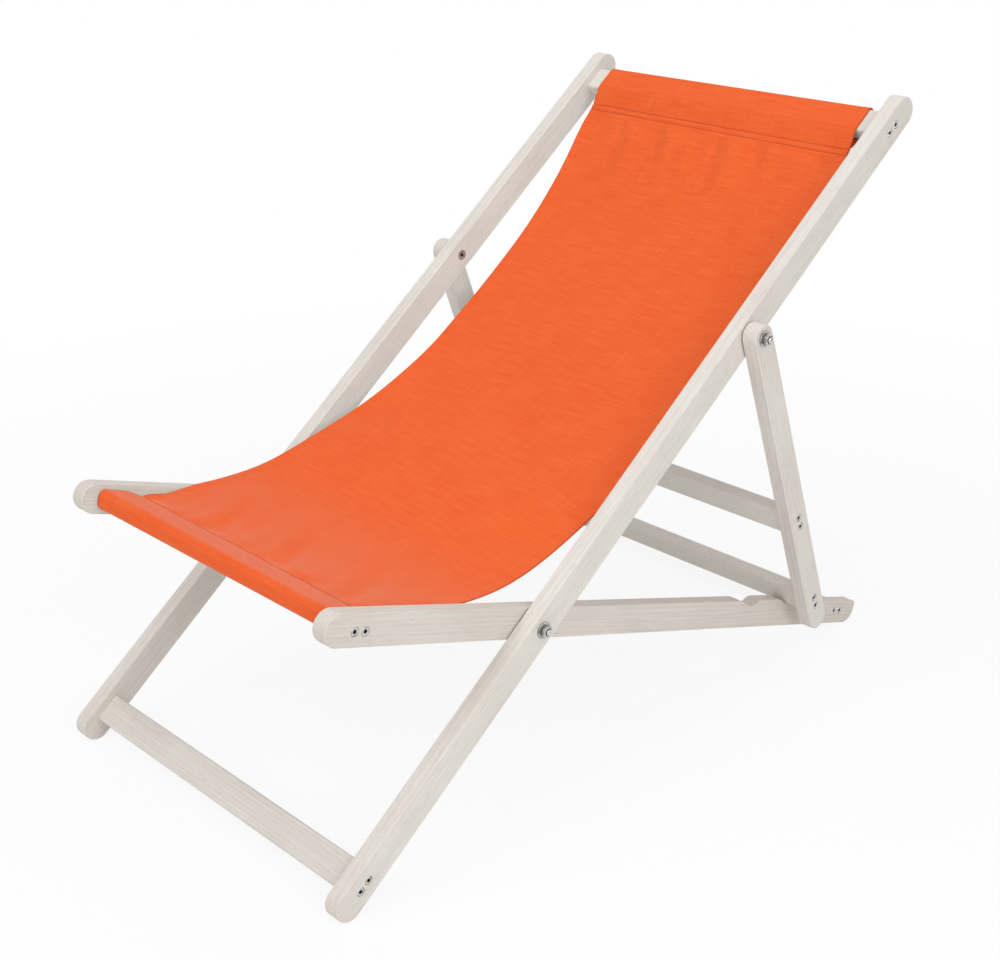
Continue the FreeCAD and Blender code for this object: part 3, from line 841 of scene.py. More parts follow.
def facing(side: int, spot: Vector) -> Matrix:
    """Return the place of a fastener at a spot, its own Z axis pointing out on one side of the chair."""
    outward = Vector((side, 0.0, 0.0))
    return Matrix.Translation(spot) @ outward.to_track_quat("Z", "Y").to_matrix().to_4x4()


# Boards


def middle_of(node: str) -> Vector:
    """Return the middle of a CAD node's box."""
    low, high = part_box(node)
    return (low + high) / 2


def span_of(node: str) -> Range:
    """Return where a CAD node's box starts and ends along the X axis."""
    low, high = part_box(node)
    return low.x, high.x


def largest_side(node: str) -> Vector:
    """Return the normal of the largest flat side that a board turns away from the X axis.

    Args:
        node: name of the board's CAD node.

    Returns:
        The unit normal, pointing up.
    """
    areas: dict[Range, float] = {}
    for face in frame["nodes"][node].data.polygons:
        if abs(face.normal.x) < 0.01:
            key = (round(face.normal.y, 4), round(face.normal.z, 4))
            areas[key] = areas.get(key, 0.0) + face.area
    y, z = max(areas, key=areas.get)
    normal = Vector((0.0, y, z)).normalized()
    return normal if normal.z > 0 else -normal


def level_of(normal: Vector) -> Vector:
    """Return the direction square to a board's normal in the side view."""
    return Vector((0.0, normal.z, -normal.y))


def loops_at(node: str, x: float) -> list[np.ndarray]:
    """Cut a CAD node by an upright plane across the chair.

    Args:
        node: name of the CAD node.
        x: where the plane crosses the X axis.

    Returns:
        The closed loops of the cut as Y and Z, the longest first, without points on straight runs.
    """
    shape = bmesh.new()
    shape.from_mesh(frame["nodes"][node].data)
    bmesh.ops.remove_doubles(shape, verts=shape.verts, dist=0.01 * MM)
    geometry = shape.verts[:] + shape.edges[:] + shape.faces[:]
    cut = bmesh.ops.bisect_plane(shape, geom=geometry, plane_co=(x, 0.0, 0.0), plane_no=(1.0, 0.0, 0.0))
    neighbours: dict[bmesh.types.BMVert, list[bmesh.types.BMVert]] = {}
    for item in cut["geom_cut"]:
        if isinstance(item, bmesh.types.BMEdge):
            first, last = item.verts
            neighbours.setdefault(first, []).append(last)
            neighbours.setdefault(last, []).append(first)
    loops = []
    while neighbours:
        vertex = next(iter(neighbours))
        chain = []
        while vertex is not None:
            chain.append(vertex.co.yz[:])
            following = neighbours.pop(vertex)
            vertex = next((other for other in following if other in neighbours), None)
        loops.append(without_straight_runs(np.array(chain)))
    shape.free()
    return sorted(loops, key=lambda loop: -np.ptp(loop, axis=0).max())


def without_straight_runs(loop: np.ndarray, least: float = 0.4) -> np.ndarray:
    """Drop the points of a closed loop that lie on straight runs.

    Args:
        loop: points of the loop.
        least: by how many degrees the loop turns at a point that is kept.

    Returns:
        The loop, in counter-clockwise order.
    """
    loop = loop[np.abs(np.degrees(turning(loop))) > least]
    following = np.roll(loop, -1, axis=0)
    area = (loop[:, 0] * following[:, 1] - loop[:, 1] * following[:, 0]).sum()
    return loop if area > 0 else loop[::-1]


def turning(loop: np.ndarray) -> np.ndarray:
    """Return by what angle a closed loop turns at each of its points.

    Args:
        loop: points of the loop.

    Returns:
        The angles in radians, positive to the left.
    """
    ahead = np.roll(loop, -1, axis=0) - loop
    angles = np.arctan2(ahead[:, 1], ahead[:, 0])
    return (angles - np.roll(angles, 1) + math.pi) % math.tau - math.pi


def with_fine_arcs(loop: np.ndarray, step: float = 0.9 * MM, least_turn: float = 26.0,
                   uneven: float = 2.2) -> np.ndarray:
    """Draw the arcs of a closed loop finely.

    Args:
        loop: counter-clockwise points, with an arc wherever the loop turns little at neighbouring points.
        step: greatest distance between points on an arc.
        least_turn: by how many degrees the loop turns at a sharp corner.
        uneven: how many times longer a straight run is than a step of the arc next to it.

    Returns:
        The loop with points added on its arcs.
    """
    ahead = np.roll(loop, -1, axis=0) - loop
    length = np.hypot(*ahead.T)
    ahead /= length[:, None]
    before, length_before = np.roll(ahead, 1, axis=0), np.roll(length, 1)
    smooth = np.abs(np.degrees(turning(loop))) < least_turn
    tangent = ahead + before
    tangent = np.where((length > uneven * length_before)[:, None], ahead, tangent)
    tangent = np.where((length_before > uneven * length)[:, None], before, tangent)
    tangent /= np.hypot(*tangent.T)[:, None]
    points = []
    for i, start in enumerate(loop):
        points.append(start)
        j = (i + 1) % len(loop)
        if not (smooth[i] and smooth[j]) or tangent[i] @ tangent[j] > 0.9999:
            continue
        count = math.ceil(length[i] / step)
        for share in np.arange(1, count) / count:
            bulge = share * (1 - share) * ((1 - share) * tangent[i] - share * tangent[j])
            points.append(start + (loop[j] - start) * eased(share) + bulge * length[i])
    return np.array(points)


def drawn_in(loop: np.ndarray, depth: float) -> np.ndarray:
    """Move a closed loop inwards.

    Args:
        loop: counter-clockwise points.
        depth: how far the loop's sides move.

    Returns:
        The moved points, in the same order.
    """
    turns = turning(loop)
    ahead = np.roll(loop, -1, axis=0) - loop
    angles = np.arctan2(ahead[:, 1], ahead[:, 0]) - turns / 2 + math.pi / 2
    reach = depth / np.clip(np.cos(turns / 2), 0.6, 1.0)
    return loop + np.stack((np.cos(angles), np.sin(angles)), axis=1) * reach[:, None]


@dataclass
class Board:
    """One wooden board, remade on its CAD outline with softened edges, bores, screw seats and grain."""

    node: str
    lie: Lie
    body: str
    seed: int
    tint: float = 0.0
    soften: float = 1.5 * MM
    end_soften: float = 0.3 * MM
    soften_rings: int = 5
    seats: list[Matrix] = field(default_factory=list)
    seat_radius: float = 5.5 * MM
    seat_depth: float = 6.0 * MM
    seat_taper: float = 0.6
    counterbore_probe: float = 2.0 * MM
    overcut: float = 1.0 * MM
    crease: float = 46.0
    grain_shift: float = 4.0

    def axes(self) -> tuple[Vector, Vector, Vector]:
        """Find how the grain runs.

        Returns:
            The directions along, across and through the board.
        """
        normal = largest_side(self.node)
        level = level_of(normal)
        return (level, normal, LATERAL) if self.lie is Lie.SIDE else (LATERAL, level, normal)

    def blank(self) -> bpy.types.Mesh:
        """Build the board from its outline.

        Returns:
            The mesh, with its long edges rounded over.
        """
        low, high = span_of(self.node)
        radius = self.soften if self.lie is Lie.SIDE else self.end_soften
        outline = with_fine_arcs(loops_at(self.node, (low + high) / 2)[0])
        rings = []
        for angle in np.linspace(0.0, math.pi / 2, self.soften_rings):
            depth = radius * (1 - math.cos(angle))
            rings.append((depth, drawn_in(outline, radius * (1 - math.sin(angle)))))
        levels = [(low + depth, ring) for depth, ring in rings]
        levels += [(high - depth, ring) for depth, ring in reversed(rings)]
        loops = [[(x, *spot) for spot in ring] for x, ring in levels]
        return lofted(self.node + "_board", [loops])

    def bores(self) -> list[bpy.types.Mesh]:
        """Find the bores and counterbores of the CAD node.

        Returns:
            A cutter for each.
        """
        low, high = span_of(self.node)
        thickness = abs(high - low)
        near, far = (low, high) if low + high > 0 else (high, low)
        inward = math.copysign(1.0, far - near)
        vertices = frame["nodes"][self.node].data.vertices
        cutters = {}
        for depth in (self.counterbore_probe, thickness / 2):
            for loop in loops_at(self.node, near + inward * depth)[1:]:
                centre = loop.mean(axis=0)
                radius = np.hypot(*(loop - centre).T).max()
                key = tuple(round(float(value) / MM, 1) for value in (*centre, radius))
                if key in cutters:
                    continue
                ends = [
                    vertex.co.x for vertex in vertices
                    if abs(np.hypot(*(np.array(vertex.co.yz) - centre)) - radius) < 0.05 * MM
                ]
                reach = max(abs(end - near) for end in ends)
                through = self.overcut if reach > thickness - 0.1 * MM else 0.0
                cutters[key] = turned("bore", ((radius, -self.overcut), (radius, reach + through)), 64)
                cutters[key].transform(facing(inward, Vector((near, *centre))))
        return list(cutters.values())

    def screw_seats(self) -> list[bpy.types.Mesh]:
        """Make room for the screws.

        Returns:
            A cutter for each screw's seat.
        """
        rings = (
            (self.seat_radius * self.seat_taper, -self.seat_depth),
            (self.seat_radius, -self.overcut),
            (self.seat_radius, self.overcut),
        )
        cutters = [turned("seat", rings, 48) for _ in self.seats]
        for cutter, place in zip(cutters, self.seats):
            cutter.transform(place)
        return cutters

    def cut(self, item: bpy.types.Object, cutters: Sequence[bpy.types.Mesh]) -> None:
        """Cut shapes out of the board one after the other.

        Args:
            item: the board.
            cutters: the shapes.
        """
        for cutter in cutters:
            tool = as_object("cutter", cutter)
            modifier = item.modifiers.new("cut", "BOOLEAN")
            modifier.object = tool
            modifier.operation = "DIFFERENCE"
            modifier.solver = "EXACT"
            finished_mesh(item)
            discard(tool)

    def mark_grain(self, mesh: bpy.types.Mesh) -> None:
        """Store each point's place along, across and through the board, shifted per board, and the tint.

        Args:
            mesh: the board's mesh.
        """
        axes = np.array([list(axis) for axis in self.axes()])
        places = np.empty(len(mesh.vertices) * 3)
        mesh.vertices.foreach_get("co", places)
        local = (places.reshape(-1, 3) - np.array(middle_of(self.node))) @ axes.T
        local += np.random.default_rng(self.seed).uniform(0.0, self.grain_shift, 3)
        mark(mesh, "grain", local)
        mark(mesh, "tint", np.full(len(mesh.vertices), self.tint))

    def build(self, wood: bpy.types.Material) -> bpy.types.Object:
        """Build the board and put it in the place of its CAD node.

        Args:
            wood: the finish.

        Returns:
            The board, riding on its body.
        """
        item = as_object(self.node + "_board", self.blank())
        if self.lie is Lie.SIDE:
            self.cut(item, self.bores() + self.screw_seats())
        shaded(item.data, self.crease)
        modifier = item.modifiers.new("normals", "WEIGHTED_NORMAL")
        modifier.keep_sharp = True
        self.mark_grain(finished_mesh(item))
        dressed(item, wood)
        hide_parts(self.node)
        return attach(item, self.body)


@dataclass
class WoodFrame:
    """One of the three wooden frames: two side rails, two cross rails and the screws that hold them."""

    body: str
    sides: tuple[str, str]
    crosses: tuple[str, str]
    seed: int
    screw_shift: Range = (0.0, 0.0)
    tint: float = 0.0
    # tone of the cross rails; a negative value draws them paler, as painted light
    cross_painted_light: float = 0.0
    screw_pitch: float = 14.6 * MM
    screw_radius: float = 5.1 * MM
    screw_sink: float = 0.3 * MM
    screw_rim: float = 0.25 * MM
    screw_taper: float = 0.55
    socket_across: float = 4.2 * MM
    socket_depth: float = 4.2 * MM
    socket_rim: float = 0.3 * MM

    def screw_places(self) -> dict[int, list[Matrix]]:
        """Find where the screws go on the rails' outer faces.

        Returns:
            The places by side, 1 for the sitter's left and -1 for the right.
        """
        outer = span_of(self.sides[0])[1]
        places: dict[int, list[Matrix]] = {1: [], -1: []}
        for cross in self.crosses:
            normal = largest_side(cross)
            level = level_of(normal)
            step = level * (self.screw_pitch / 2)
            middle = middle_of(cross)
            if cross == self.crosses[0]:
                middle += level * self.screw_shift[0] + normal * self.screw_shift[1]
            for side in places:
                for sign in (-1, 1):
                    spot = Vector((side * outer, middle.y, middle.z)) + step * sign
                    places[side].append(facing(side, spot))
        return places

    def screw(self) -> bpy.types.Mesh:
        """Build one flat screw head with a deep hexagon socket.

        Returns:
            The mesh, its rim just below the wood at Z = 0.
        """
        top = -self.screw_sink
        socket = hexagon(self.socket_across)
        rings = (
            (self.screw_radius * self.screw_taper, top - self.socket_depth - 1.0 * MM),
            (self.screw_radius, top - 0.6 * MM),
            (self.screw_radius, top - self.screw_rim),
            (self.screw_radius - self.screw_rim, top),
            (lambda angle: socket(angle) + self.socket_rim, top),
            (socket, top - self.socket_rim),
            (socket, top - self.socket_depth),
        )
        # painted shade in the hex socket and on the head's side below the wood
        return turned("screw", rings, 48, painted_shade=(1.0, 0.6, 0.2, 0.0, 0.0, 0.8, 1.0))

    def build(self, finishes: Finishes, copies: PlacedCopies) -> None:
        """Build the frame's boards and screws.

        Args:
            finishes: the chair's finishes.
            copies: the tree that places the screws.
        """
        places = self.screw_places()
        for i, (node, side) in enumerate(zip(self.sides, places)):
            board = Board(node, Lie.SIDE, self.body, self.seed + i, self.tint, seats=places[side])
            board.build(finishes.wood)
        for i, node in enumerate(self.crosses):
            Board(node, Lie.CROSS, self.body, self.seed + 5 + i, self.cross_painted_light).build(finishes.wood)
        screws = copies.make(self.body + "_screws", self.screw(), places[1] + places[-1], finishes.steel,
                             spin=math.pi, seed=self.seed)
        dressed(screws, finishes.steel)
        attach(screws, self.body)


@dataclass
class PivotHardware:
    """Bolts, spacers, washers and nuts of one pair of pivots."""

    name: str
    body: str
    joint: str
    nut_across: float = 13.0 * MM
    nut_face: float = 0.95
    nut_chamfer: float = 30.0
    countersink: float = 0.6 * MM
    play: float = 0.05 * MM
    bolt_diameter: float = 8.0 * MM
    bolt_tip: float = 0.9 * MM
    washer_diameter: float = 20.0 * MM
    washer_soften: float = 0.3 * MM
    head_diameter: float = 14.0 * MM
    head_height: float = 3.0 * MM
    head_soften: float = 0.5 * MM
    socket_across: float = 5.0 * MM
    socket_depth: float = 0.7
    socket_rim: float = 0.25 * MM
    threaded: float = 12.0 * MM
    thread_pitch: float = 1.25 * MM
    thread_depth: float = 0.45 * MM
    steps: int = 72

    def pivot(self) -> Vector:
        """Return the middle of the pivot's axis."""
        return Vector(next(item["pos_m"] for item in frame["joints"] if item["name"] == self.joint))

    def reach(self, node: str) -> Range:
        """Return how far a node's solids start and end from the chair's middle plane."""
        reach = [abs(vertex.co.x) for vertex in frame["nodes"][node].data.vertices]
        return min(reach), max(reach)

    def nut(self, height: float) -> bpy.types.Mesh:
        """Build a hexagon nut with chamfered corners and a countersunk bore.

        Args:
            height: the nut's height.

        Returns:
            The mesh, standing on Z = 0.
        """
        bore = self.bolt_diameter / 2 + self.play
        flat = self.nut_across / 2 * self.nut_face
        outline = hexagon(self.nut_across)
        slope = math.tan(math.radians(self.nut_chamfer))

        def fall(angle: float) -> float:
            """Return how far a corner drops below the nut's face."""
            return (outline(angle) - flat) * slope

        rings = (
            (bore, 0.0),
            (flat, 0.0),
            (outline, fall),
            (outline, lambda angle: height - fall(angle)),
            (flat, height),
            (bore + self.countersink, height),
            (bore, height - self.countersink),
        )
        # painted shade on the nut's underside and in its bore, where shade falls
        return turned("nut", rings, self.steps, closed=True, painted_shade=(0.9, 0.9, 0.6, 0.0, 0.0, 0.3, 0.9))

    def washer(self, height: float) -> bpy.types.Mesh:
        """Build a flat ring with stamped, slightly rounded edges.

        Args:
            height: the ring's height.

        Returns:
            The mesh, standing on Z = 0.
        """
        bore = self.bolt_diameter / 2 + self.play
        outer = self.washer_diameter / 2
        soft = self.washer_soften
        rings = (
            (bore, 0.0),
            (outer - soft, 0.0),
            (outer, soft),
            (outer, height - soft),
            (outer - soft, height),
            (bore, height),
        )
        # painted shade on the washer's underside, its lower edge and its bore
        return turned("washer", rings, self.steps, closed=True, painted_shade=(0.9, 0.9, 0.7, 0.2, 0.0, 0.4))

    def bolt(self, length: float) -> bpy.types.Mesh:
        """Build a flat-headed bolt with a hexagon socket and a threaded end.

        Args:
            length: the bolt's length over all.

        Returns:
            The mesh, from its head at Z = 0.
        """
        radius = self.bolt_diameter / 2
        head = self.head_diameter / 2
        socket = hexagon(self.socket_across)
        rings: list[tuple[Radius, Radius]] = [
            (socket, self.head_height * self.socket_depth),
            (socket, 0.2 * MM),
            (lambda angle: socket(angle) + self.socket_rim, 0.0),
            (head - self.head_soften, 0.0),
            (head, self.head_soften),
            (head, self.head_height),
            (radius, self.head_height),
        ]
        # painted shade in the socket, over the head, under it and in the thread valleys
        painted_shade = [0.7, 0.5, 0.25, 0.25, 1.0, 1.0, 1.0]
        turns = int((self.threaded - 1.0 * MM) / self.thread_pitch)
        for i in range(turns):
            start = length - self.threaded + i * self.thread_pitch
            rings.append((radius, start))
            rings.append((radius - self.thread_depth, start + self.thread_pitch / 2))
            painted_shade += [0.2, 0.9]
        rings.append((radius, length - self.bolt_tip))
        rings.append((radius - self.bolt_tip, length))
        return turned("bolt", rings, self.steps, painted_shade=painted_shade + [0.1, 0.0])

    def build(self, finishes: Finishes, copies: PlacedCopies) -> None:
        """Build each kind of fastener as one piece in the place of its CAD node.

        Args:
            finishes: the chair's finishes.
            copies: the tree that places the fasteners.
        """
        makers = {"bolts": self.bolt, "spacers": self.washer, "washers": self.washer, "nuts": self.nut}
        pivot = self.pivot()
        for kind, maker in makers.items():
            node = f"{self.name}_pivot_{kind}"
            inner, outer = self.reach(node)
            places = [facing(side, Vector((side * inner, pivot.y, pivot.z))) for side in (1, -1)]
            piece = copies.make(node + "_turned", maker(outer - inner), places, finishes.steel)
            dressed(piece, finishes.steel)
            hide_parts(node)
            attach(piece, self.body)


# The sling


def unit(angle: float) -> np.ndarray:
    """Return the direction at an angle from +Y towards +Z, as Y and Z."""
    return np.array((math.cos(angle), math.sin(angle)))


def heading(way: Vector) -> float:
    """Return a direction's angle from +Y towards +Z."""
    return math.atan2(way.z, way.y)


@dataclass
class Sling:
    """The cloth sling: one strip, hemmed round the top rail and round the front rail."""

    width: float = 441 * MM
    thickness: float = 1.0 * MM
    hem_thickness: float = 1.7 * MM
    rail_width: float = 37 * MM
    rail_thickness: float = 18 * MM
    rail_edge: float = 3.0 * MM
    clearance: float = 1.2 * MM
    wrap_step: float = 11.0
    top_drop: float = 21 * MM
    top_offset: float = -2.3 * MM
    top_fullness: float = 1.2 * MM
    front_drop: float = 18.5 * MM
    front_offset: float = 3.0 * MM
    front_slack: float = 2.0 * MM
    front_roll: Bumps = ((-14.2 * MM, -3.2 * MM, 7.5 * MM), (-15.0 * MM, 4.5 * MM, 7.5 * MM))
    front_skew: float = 1.0 * MM
    front_skew_reach: float = 22 * MM
    top_angle: float = 17.4
    front_angle: float = 4.5
    arc_ratio: float = 2.0
    far_hang: Bumps = (
        (0.05, 0.04, 1.5 * MM),
        (0.41, 0.05, 2.5 * MM),
        (0.72, 0.11, 8.5 * MM),
        (0.88, 0.09, 7.2 * MM),
    )
    near_hang: Bumps = ((0.62, 0.14, -8 * MM), (0.79, 0.10, -15.5 * MM))
    top_shift: float = 2.0 * MM
    top_widen: float = 1.6 * MM
    top_widen_reach: float = 200 * MM
    tail: float = 13 * MM
    layer_gap: float = 1.25 * MM
    step: float = 5.0 * MM
    fine_step: float = 0.7 * MM
    fine_reach: float = 16 * MM
    columns: int = 96
    side_hem: float = 11 * MM
    edge_columns: Spot = (2.4 * MM, 1.2 * MM, 0.6 * MM)
    edge_shade: float = 0.8
    edge_shade_width: float = 1.2 * MM
    crease_angle: float = 60.0
    top_rows: float = 8.2 * MM
    front_rows: float = 5.6 * MM
    front_depth: float = 0.5
    seam_shift: float = 6.2 * MM
    seam_skew: float = 0.007
    seam_width: float = 1.1 * MM
    dent: float = 0.8 * MM
    seed: int = 11
    top_ripples: Ripples = ((93 * MM, 1.7 * MM), (57 * MM, 1.2 * MM), (34 * MM, 0.7 * MM))
    top_leans: Range = (-0.25, 0.25)
    front_ripples: Ripples = ((110 * MM, 1.9 * MM), (61 * MM, 1.3 * MM), (41 * MM, 0.6 * MM))
    front_leans: Range = (0.3, 0.7)
    slack_folds: Ripples = ((310 * MM, 1.1 * MM), (190 * MM, 0.6 * MM))
    slack_slants: Range = (-0.5, 0.5)
    slack_start: float = 80 * MM
    pucker_start: float = 2 * MM
    pucker_width: float = 18 * MM
    pucker_reach: float = 75 * MM
    pucker_gain: float = 1.3
    stitch_pitch: float = 3.6 * MM
    stitch_share: float = 0.8
    stitch_radius: float = 0.34 * MM
    stitch_flatness: float = 0.8
    stitch_lift: float = 0.05 * MM
    stitch_profile: Ripples = ((-1.0, 0.35), (-0.6, 1.0), (0.6, 1.0), (1.0, 0.35))
    stitch_sides: int = 6
    stitch_uneven: float = 0.06
    stitch_spin: float = 0.05
    hem_margin: float = 3 * MM
    edge_margin: float = 8 * MM
    bend_shares: Range = (0.62, 0.84)
    back: float = field(init=False)
    seat: float = field(init=False)
    points: np.ndarray = field(init=False)
    normals: np.ndarray = field(init=False)
    run: np.ndarray = field(init=False)
    top_seam_at: float = field(init=False)
    front_seam_at: float = field(init=False)
    front_base_at: float = field(init=False)

    def __post_init__(self) -> None:
        """Work out the cloth's middle line from the rails."""
        pivots = {item["name"]: Vector(item["pos_m"]) for item in frame["joints"]}
        self.back = heading(pivots["prop_fold"] - pivots["seat_fold"])
        self.seat = heading(middle_of("seat_rear_rail") - middle_of("seat_front_rail"))
        self.lay_out()

    def corners(self, middle: np.ndarray, along: np.ndarray, up: np.ndarray, fullness: float,
                slack: float) -> list[Rounding]:
        """Find the roundings of a hem round its rail.

        Args:
            middle: middle of the rail.
            along: direction towards the hem's seam.
            up: direction towards the sitter.
            fullness: how far the hem stands off the rail's far edge.
            slack: how far it hangs below the rail.

        Returns:
            The middles and radii, near base, far base, far top and near top.
        """
        reach = self.rail_width / 2 - self.rail_edge
        rise = self.rail_thickness / 2 - self.rail_edge
        radius = self.rail_edge + self.clearance
        middles = [
            middle + along * reach - up * (rise + slack),
            middle - along * (reach + fullness) - up * (rise + slack),
            middle - along * (reach + fullness) + up * rise,
            middle + along * reach + up * rise,
        ]
        return [(spot, radius) for spot in middles]

    def wrap(self, start: np.ndarray, corners: Sequence[Rounding], end: np.ndarray) -> list[np.ndarray]:
        """Lead the cloth from a point round the roundings of a hem to another point.

        Args:
            start: point where the cloth comes from.
            corners: middles and radii of the roundings, in order, counter-clockwise.
            end: point that the cloth goes to.

        Returns:
            Points along the way.
        """
        stops = [(start, 0.0), *corners, (end, 0.0)]
        squares = []
        for (spot, size), (following, next_size) in zip(stops, stops[1:]):
            run = following - spot
            lean = math.acos((size - next_size) / np.hypot(*run))
            squares.append(math.atan2(run[1], run[0]) - lean)
        way = [start]
        for (spot, size), arrive, leave in zip(stops[1:-1], squares, squares[1:]):
            sweep = (leave - arrive) % math.tau
            count = max(3, int(math.degrees(sweep) / self.wrap_step))
            way += [spot + unit(angle) * size for angle in np.linspace(arrive, arrive + sweep, count)]
        return way + [end]

    def sag(self, start: np.ndarray, start_way: np.ndarray, end: np.ndarray,
            end_way: np.ndarray) -> list[np.ndarray]:
        """Let the cloth hang between its seams in two tangent arcs.

        Args:
            start: point at the top seam.
            start_way: direction in which the cloth leaves it.
            end: point at the front seam.
            end_way: direction in which the cloth arrives there.

        Returns:
            Points along the arcs.
        """
        chord = end - start
        square = 2 * self.arc_ratio * (start_way @ end_way - 1)
        linear = -2 * chord @ (start_way * self.arc_ratio + end_way)
        end_arm = (-linear - math.sqrt(linear**2 - 4 * square * (chord @ chord))) / (2 * square)
        start_arm = self.arc_ratio * end_arm
        start_knee = start + start_way * start_arm
        end_knee = end - end_way * end_arm
        meet = (start_knee * end_arm + end_knee * start_arm) / (start_arm + end_arm)
        arcs = []
        for first, way_there in ((start, start_way), (end, end_way)):
            side = np.array((-way_there[1], way_there[0]))
            span = meet - first
            centre = first + side * ((span @ span) / (2 * span @ side))
            radius = np.hypot(*(first - centre))
            angles = [math.atan2(*(spot - centre)[::-1]) for spot in (first, meet)]
            count = int(abs(angles[1] - angles[0]) * radius / self.step) + 2
            arcs.append([centre + unit(angle) * radius for angle in np.linspace(*angles, count)])
        return arcs[0] + arcs[1][::-1][1:]

    def lay_out(self) -> None:
        """Set the points, normals and running length of the cloth's middle line."""
        up_back = unit(self.back)
        ahead = unit(self.back + math.pi / 2)
        along_seat = unit(self.seat)
        above = unit(self.seat + math.pi / 2)
        top = np.array(middle_of("top_cross_rail"))[1:]
        front = np.array(middle_of("seat_front_rail"))[1:]
        half = self.rail_width / 2
        top_seam = top - up_back * (half + self.top_drop) + ahead * self.top_offset
        front_seam = front + along_seat * (half + self.front_drop) + above * self.front_offset
        leave = -unit(self.back + math.radians(self.top_angle))
        arrive = -unit(self.seat + math.radians(self.front_angle))
        top_lift = np.array((leave[1], -leave[0])) * (self.layer_gap / 2)
        front_lift = np.array((arrive[1], -arrive[0])) * (self.layer_gap / 2)
        start, tail_top = top_seam + top_lift, top_seam - top_lift
        end, tail_front = front_seam + front_lift, front_seam - front_lift
        over_top = self.wrap(tail_top, self.corners(top, -up_back, ahead, self.top_fullness, 0.0), start)
        low_near, _, _, high_near = self.corners(front, along_seat, above, 0.0, self.front_slack)
        low_far, high_far = (
            (front + along_seat * forth + above * up, radius) for forth, up, radius in self.front_roll
        )
        over_front = self.wrap(end, [high_near, high_far, low_far, low_near], tail_front)
        hanging = self.sag(start, leave, end, arrive)
        way = [tail_top + leave * self.tail] + over_top + hanging[1:] + over_front[1:]
        way.append(tail_front - arrive * self.tail)
        self.even_out(np.array(way), (len(over_top), len(over_top) + len(hanging) - 1))
        base = low_far[0] - above * low_far[1]
        self.front_base_at = self.run[np.hypot(*(self.points - base).T).argmin()]

    def even_out(self, way: np.ndarray, marks: tuple[int, int]) -> None:
        """Divide long runs into even steps and note where the seams lie.

        Args:
            way: points along the cloth.
            marks: numbers of the points at the top seam and at the front seam.
        """
        gaps = np.hypot(*np.diff(way, axis=0).T)
        run = np.concatenate(([0.0], np.cumsum(gaps)))
        self.top_seam_at, self.front_seam_at = run[marks[0]], run[marks[1]]
        stations = [0.0]
        for start, gap in zip(run, gaps):
            away = min(abs(start + gap / 2 - seam) for seam in (self.top_seam_at, self.front_seam_at))
            parts = max(1, math.ceil(gap / (self.fine_step if away < self.fine_reach else self.step)))
            stations += [start + gap * (i + 1) / parts for i in range(parts) if gap > 1e-6]
        self.run = np.array(stations)
        self.points = np.stack([np.interp(self.run, run, way[:, i]) for i in (0, 1)], axis=1)
        ways = np.gradient(self.points, self.run, axis=0)
        ways /= np.hypot(*ways.T)[:, None]
        self.normals = np.stack((ways[:, 1], -ways[:, 0]), axis=1)

    def seam_rows(self, across: np.ndarray) -> list[np.ndarray]:
        """Find the rows of stitches, two at each hem.

        Args:
            across: places across the cloth.

        Returns:
            Each row's places along the cloth, at the places across.
        """
        top = self.top_seam_at + self.seam_shift + self.seam_skew * across
        front = self.front_seam_at + 0.0 * across
        halves = ((top, self.top_rows / 2), (front, self.front_rows / 2))
        return [middle + sign * half for middle, half in halves for sign in (-1, 1)]

    @staticmethod
    def bumps(table: Bumps, share: np.ndarray) -> np.ndarray:
        """Add up bell curves, each given by its middle, its width and its height."""
        return sum(height * bell(share - middle, wide) for middle, wide, height in table)

    def hang(self, across: np.ndarray, run: np.ndarray) -> np.ndarray:
        """Let the cloth hang lower on the near side than on the far one.

        Args:
            across: places across the cloth.
            run: places along the cloth.

        Returns:
            How far the cloth lies off its middle line.
        """
        share = (run - self.top_seam_at) / (self.front_seam_at - self.top_seam_at)
        near = across / self.width + 0.5
        skew = -across / self.width * 2 * self.front_skew
        hem = skew * bell(run - self.front_base_at, self.front_skew_reach)
        far_side = self.bumps(self.far_hang, share) * (1 - near)
        return far_side + self.bumps(self.near_hang, share) * near + hem

    def seams(self, across: np.ndarray, run: np.ndarray) -> np.ndarray:
        """Find the rows of stitches on the cloth.

        Args:
            across: places across the cloth.
            run: places along the cloth.

        Returns:
            How near each place lies to a row, from 0 to 1.
        """
        depths = (1.0, 1.0, self.front_depth, self.front_depth)
        rows = zip(self.seam_rows(across), depths)
        return sum(depth * bell(run - row, self.seam_width) for row, depth in rows)

    def pucker(self, away: np.ndarray) -> np.ndarray:
        """Return how strongly the cloth puckers at a distance from a seam."""
        start = np.clip((away - self.pucker_start) / self.pucker_width, 0.0, 1.0)
        return eased(start) * bell(away, self.pucker_reach) * self.pucker_gain

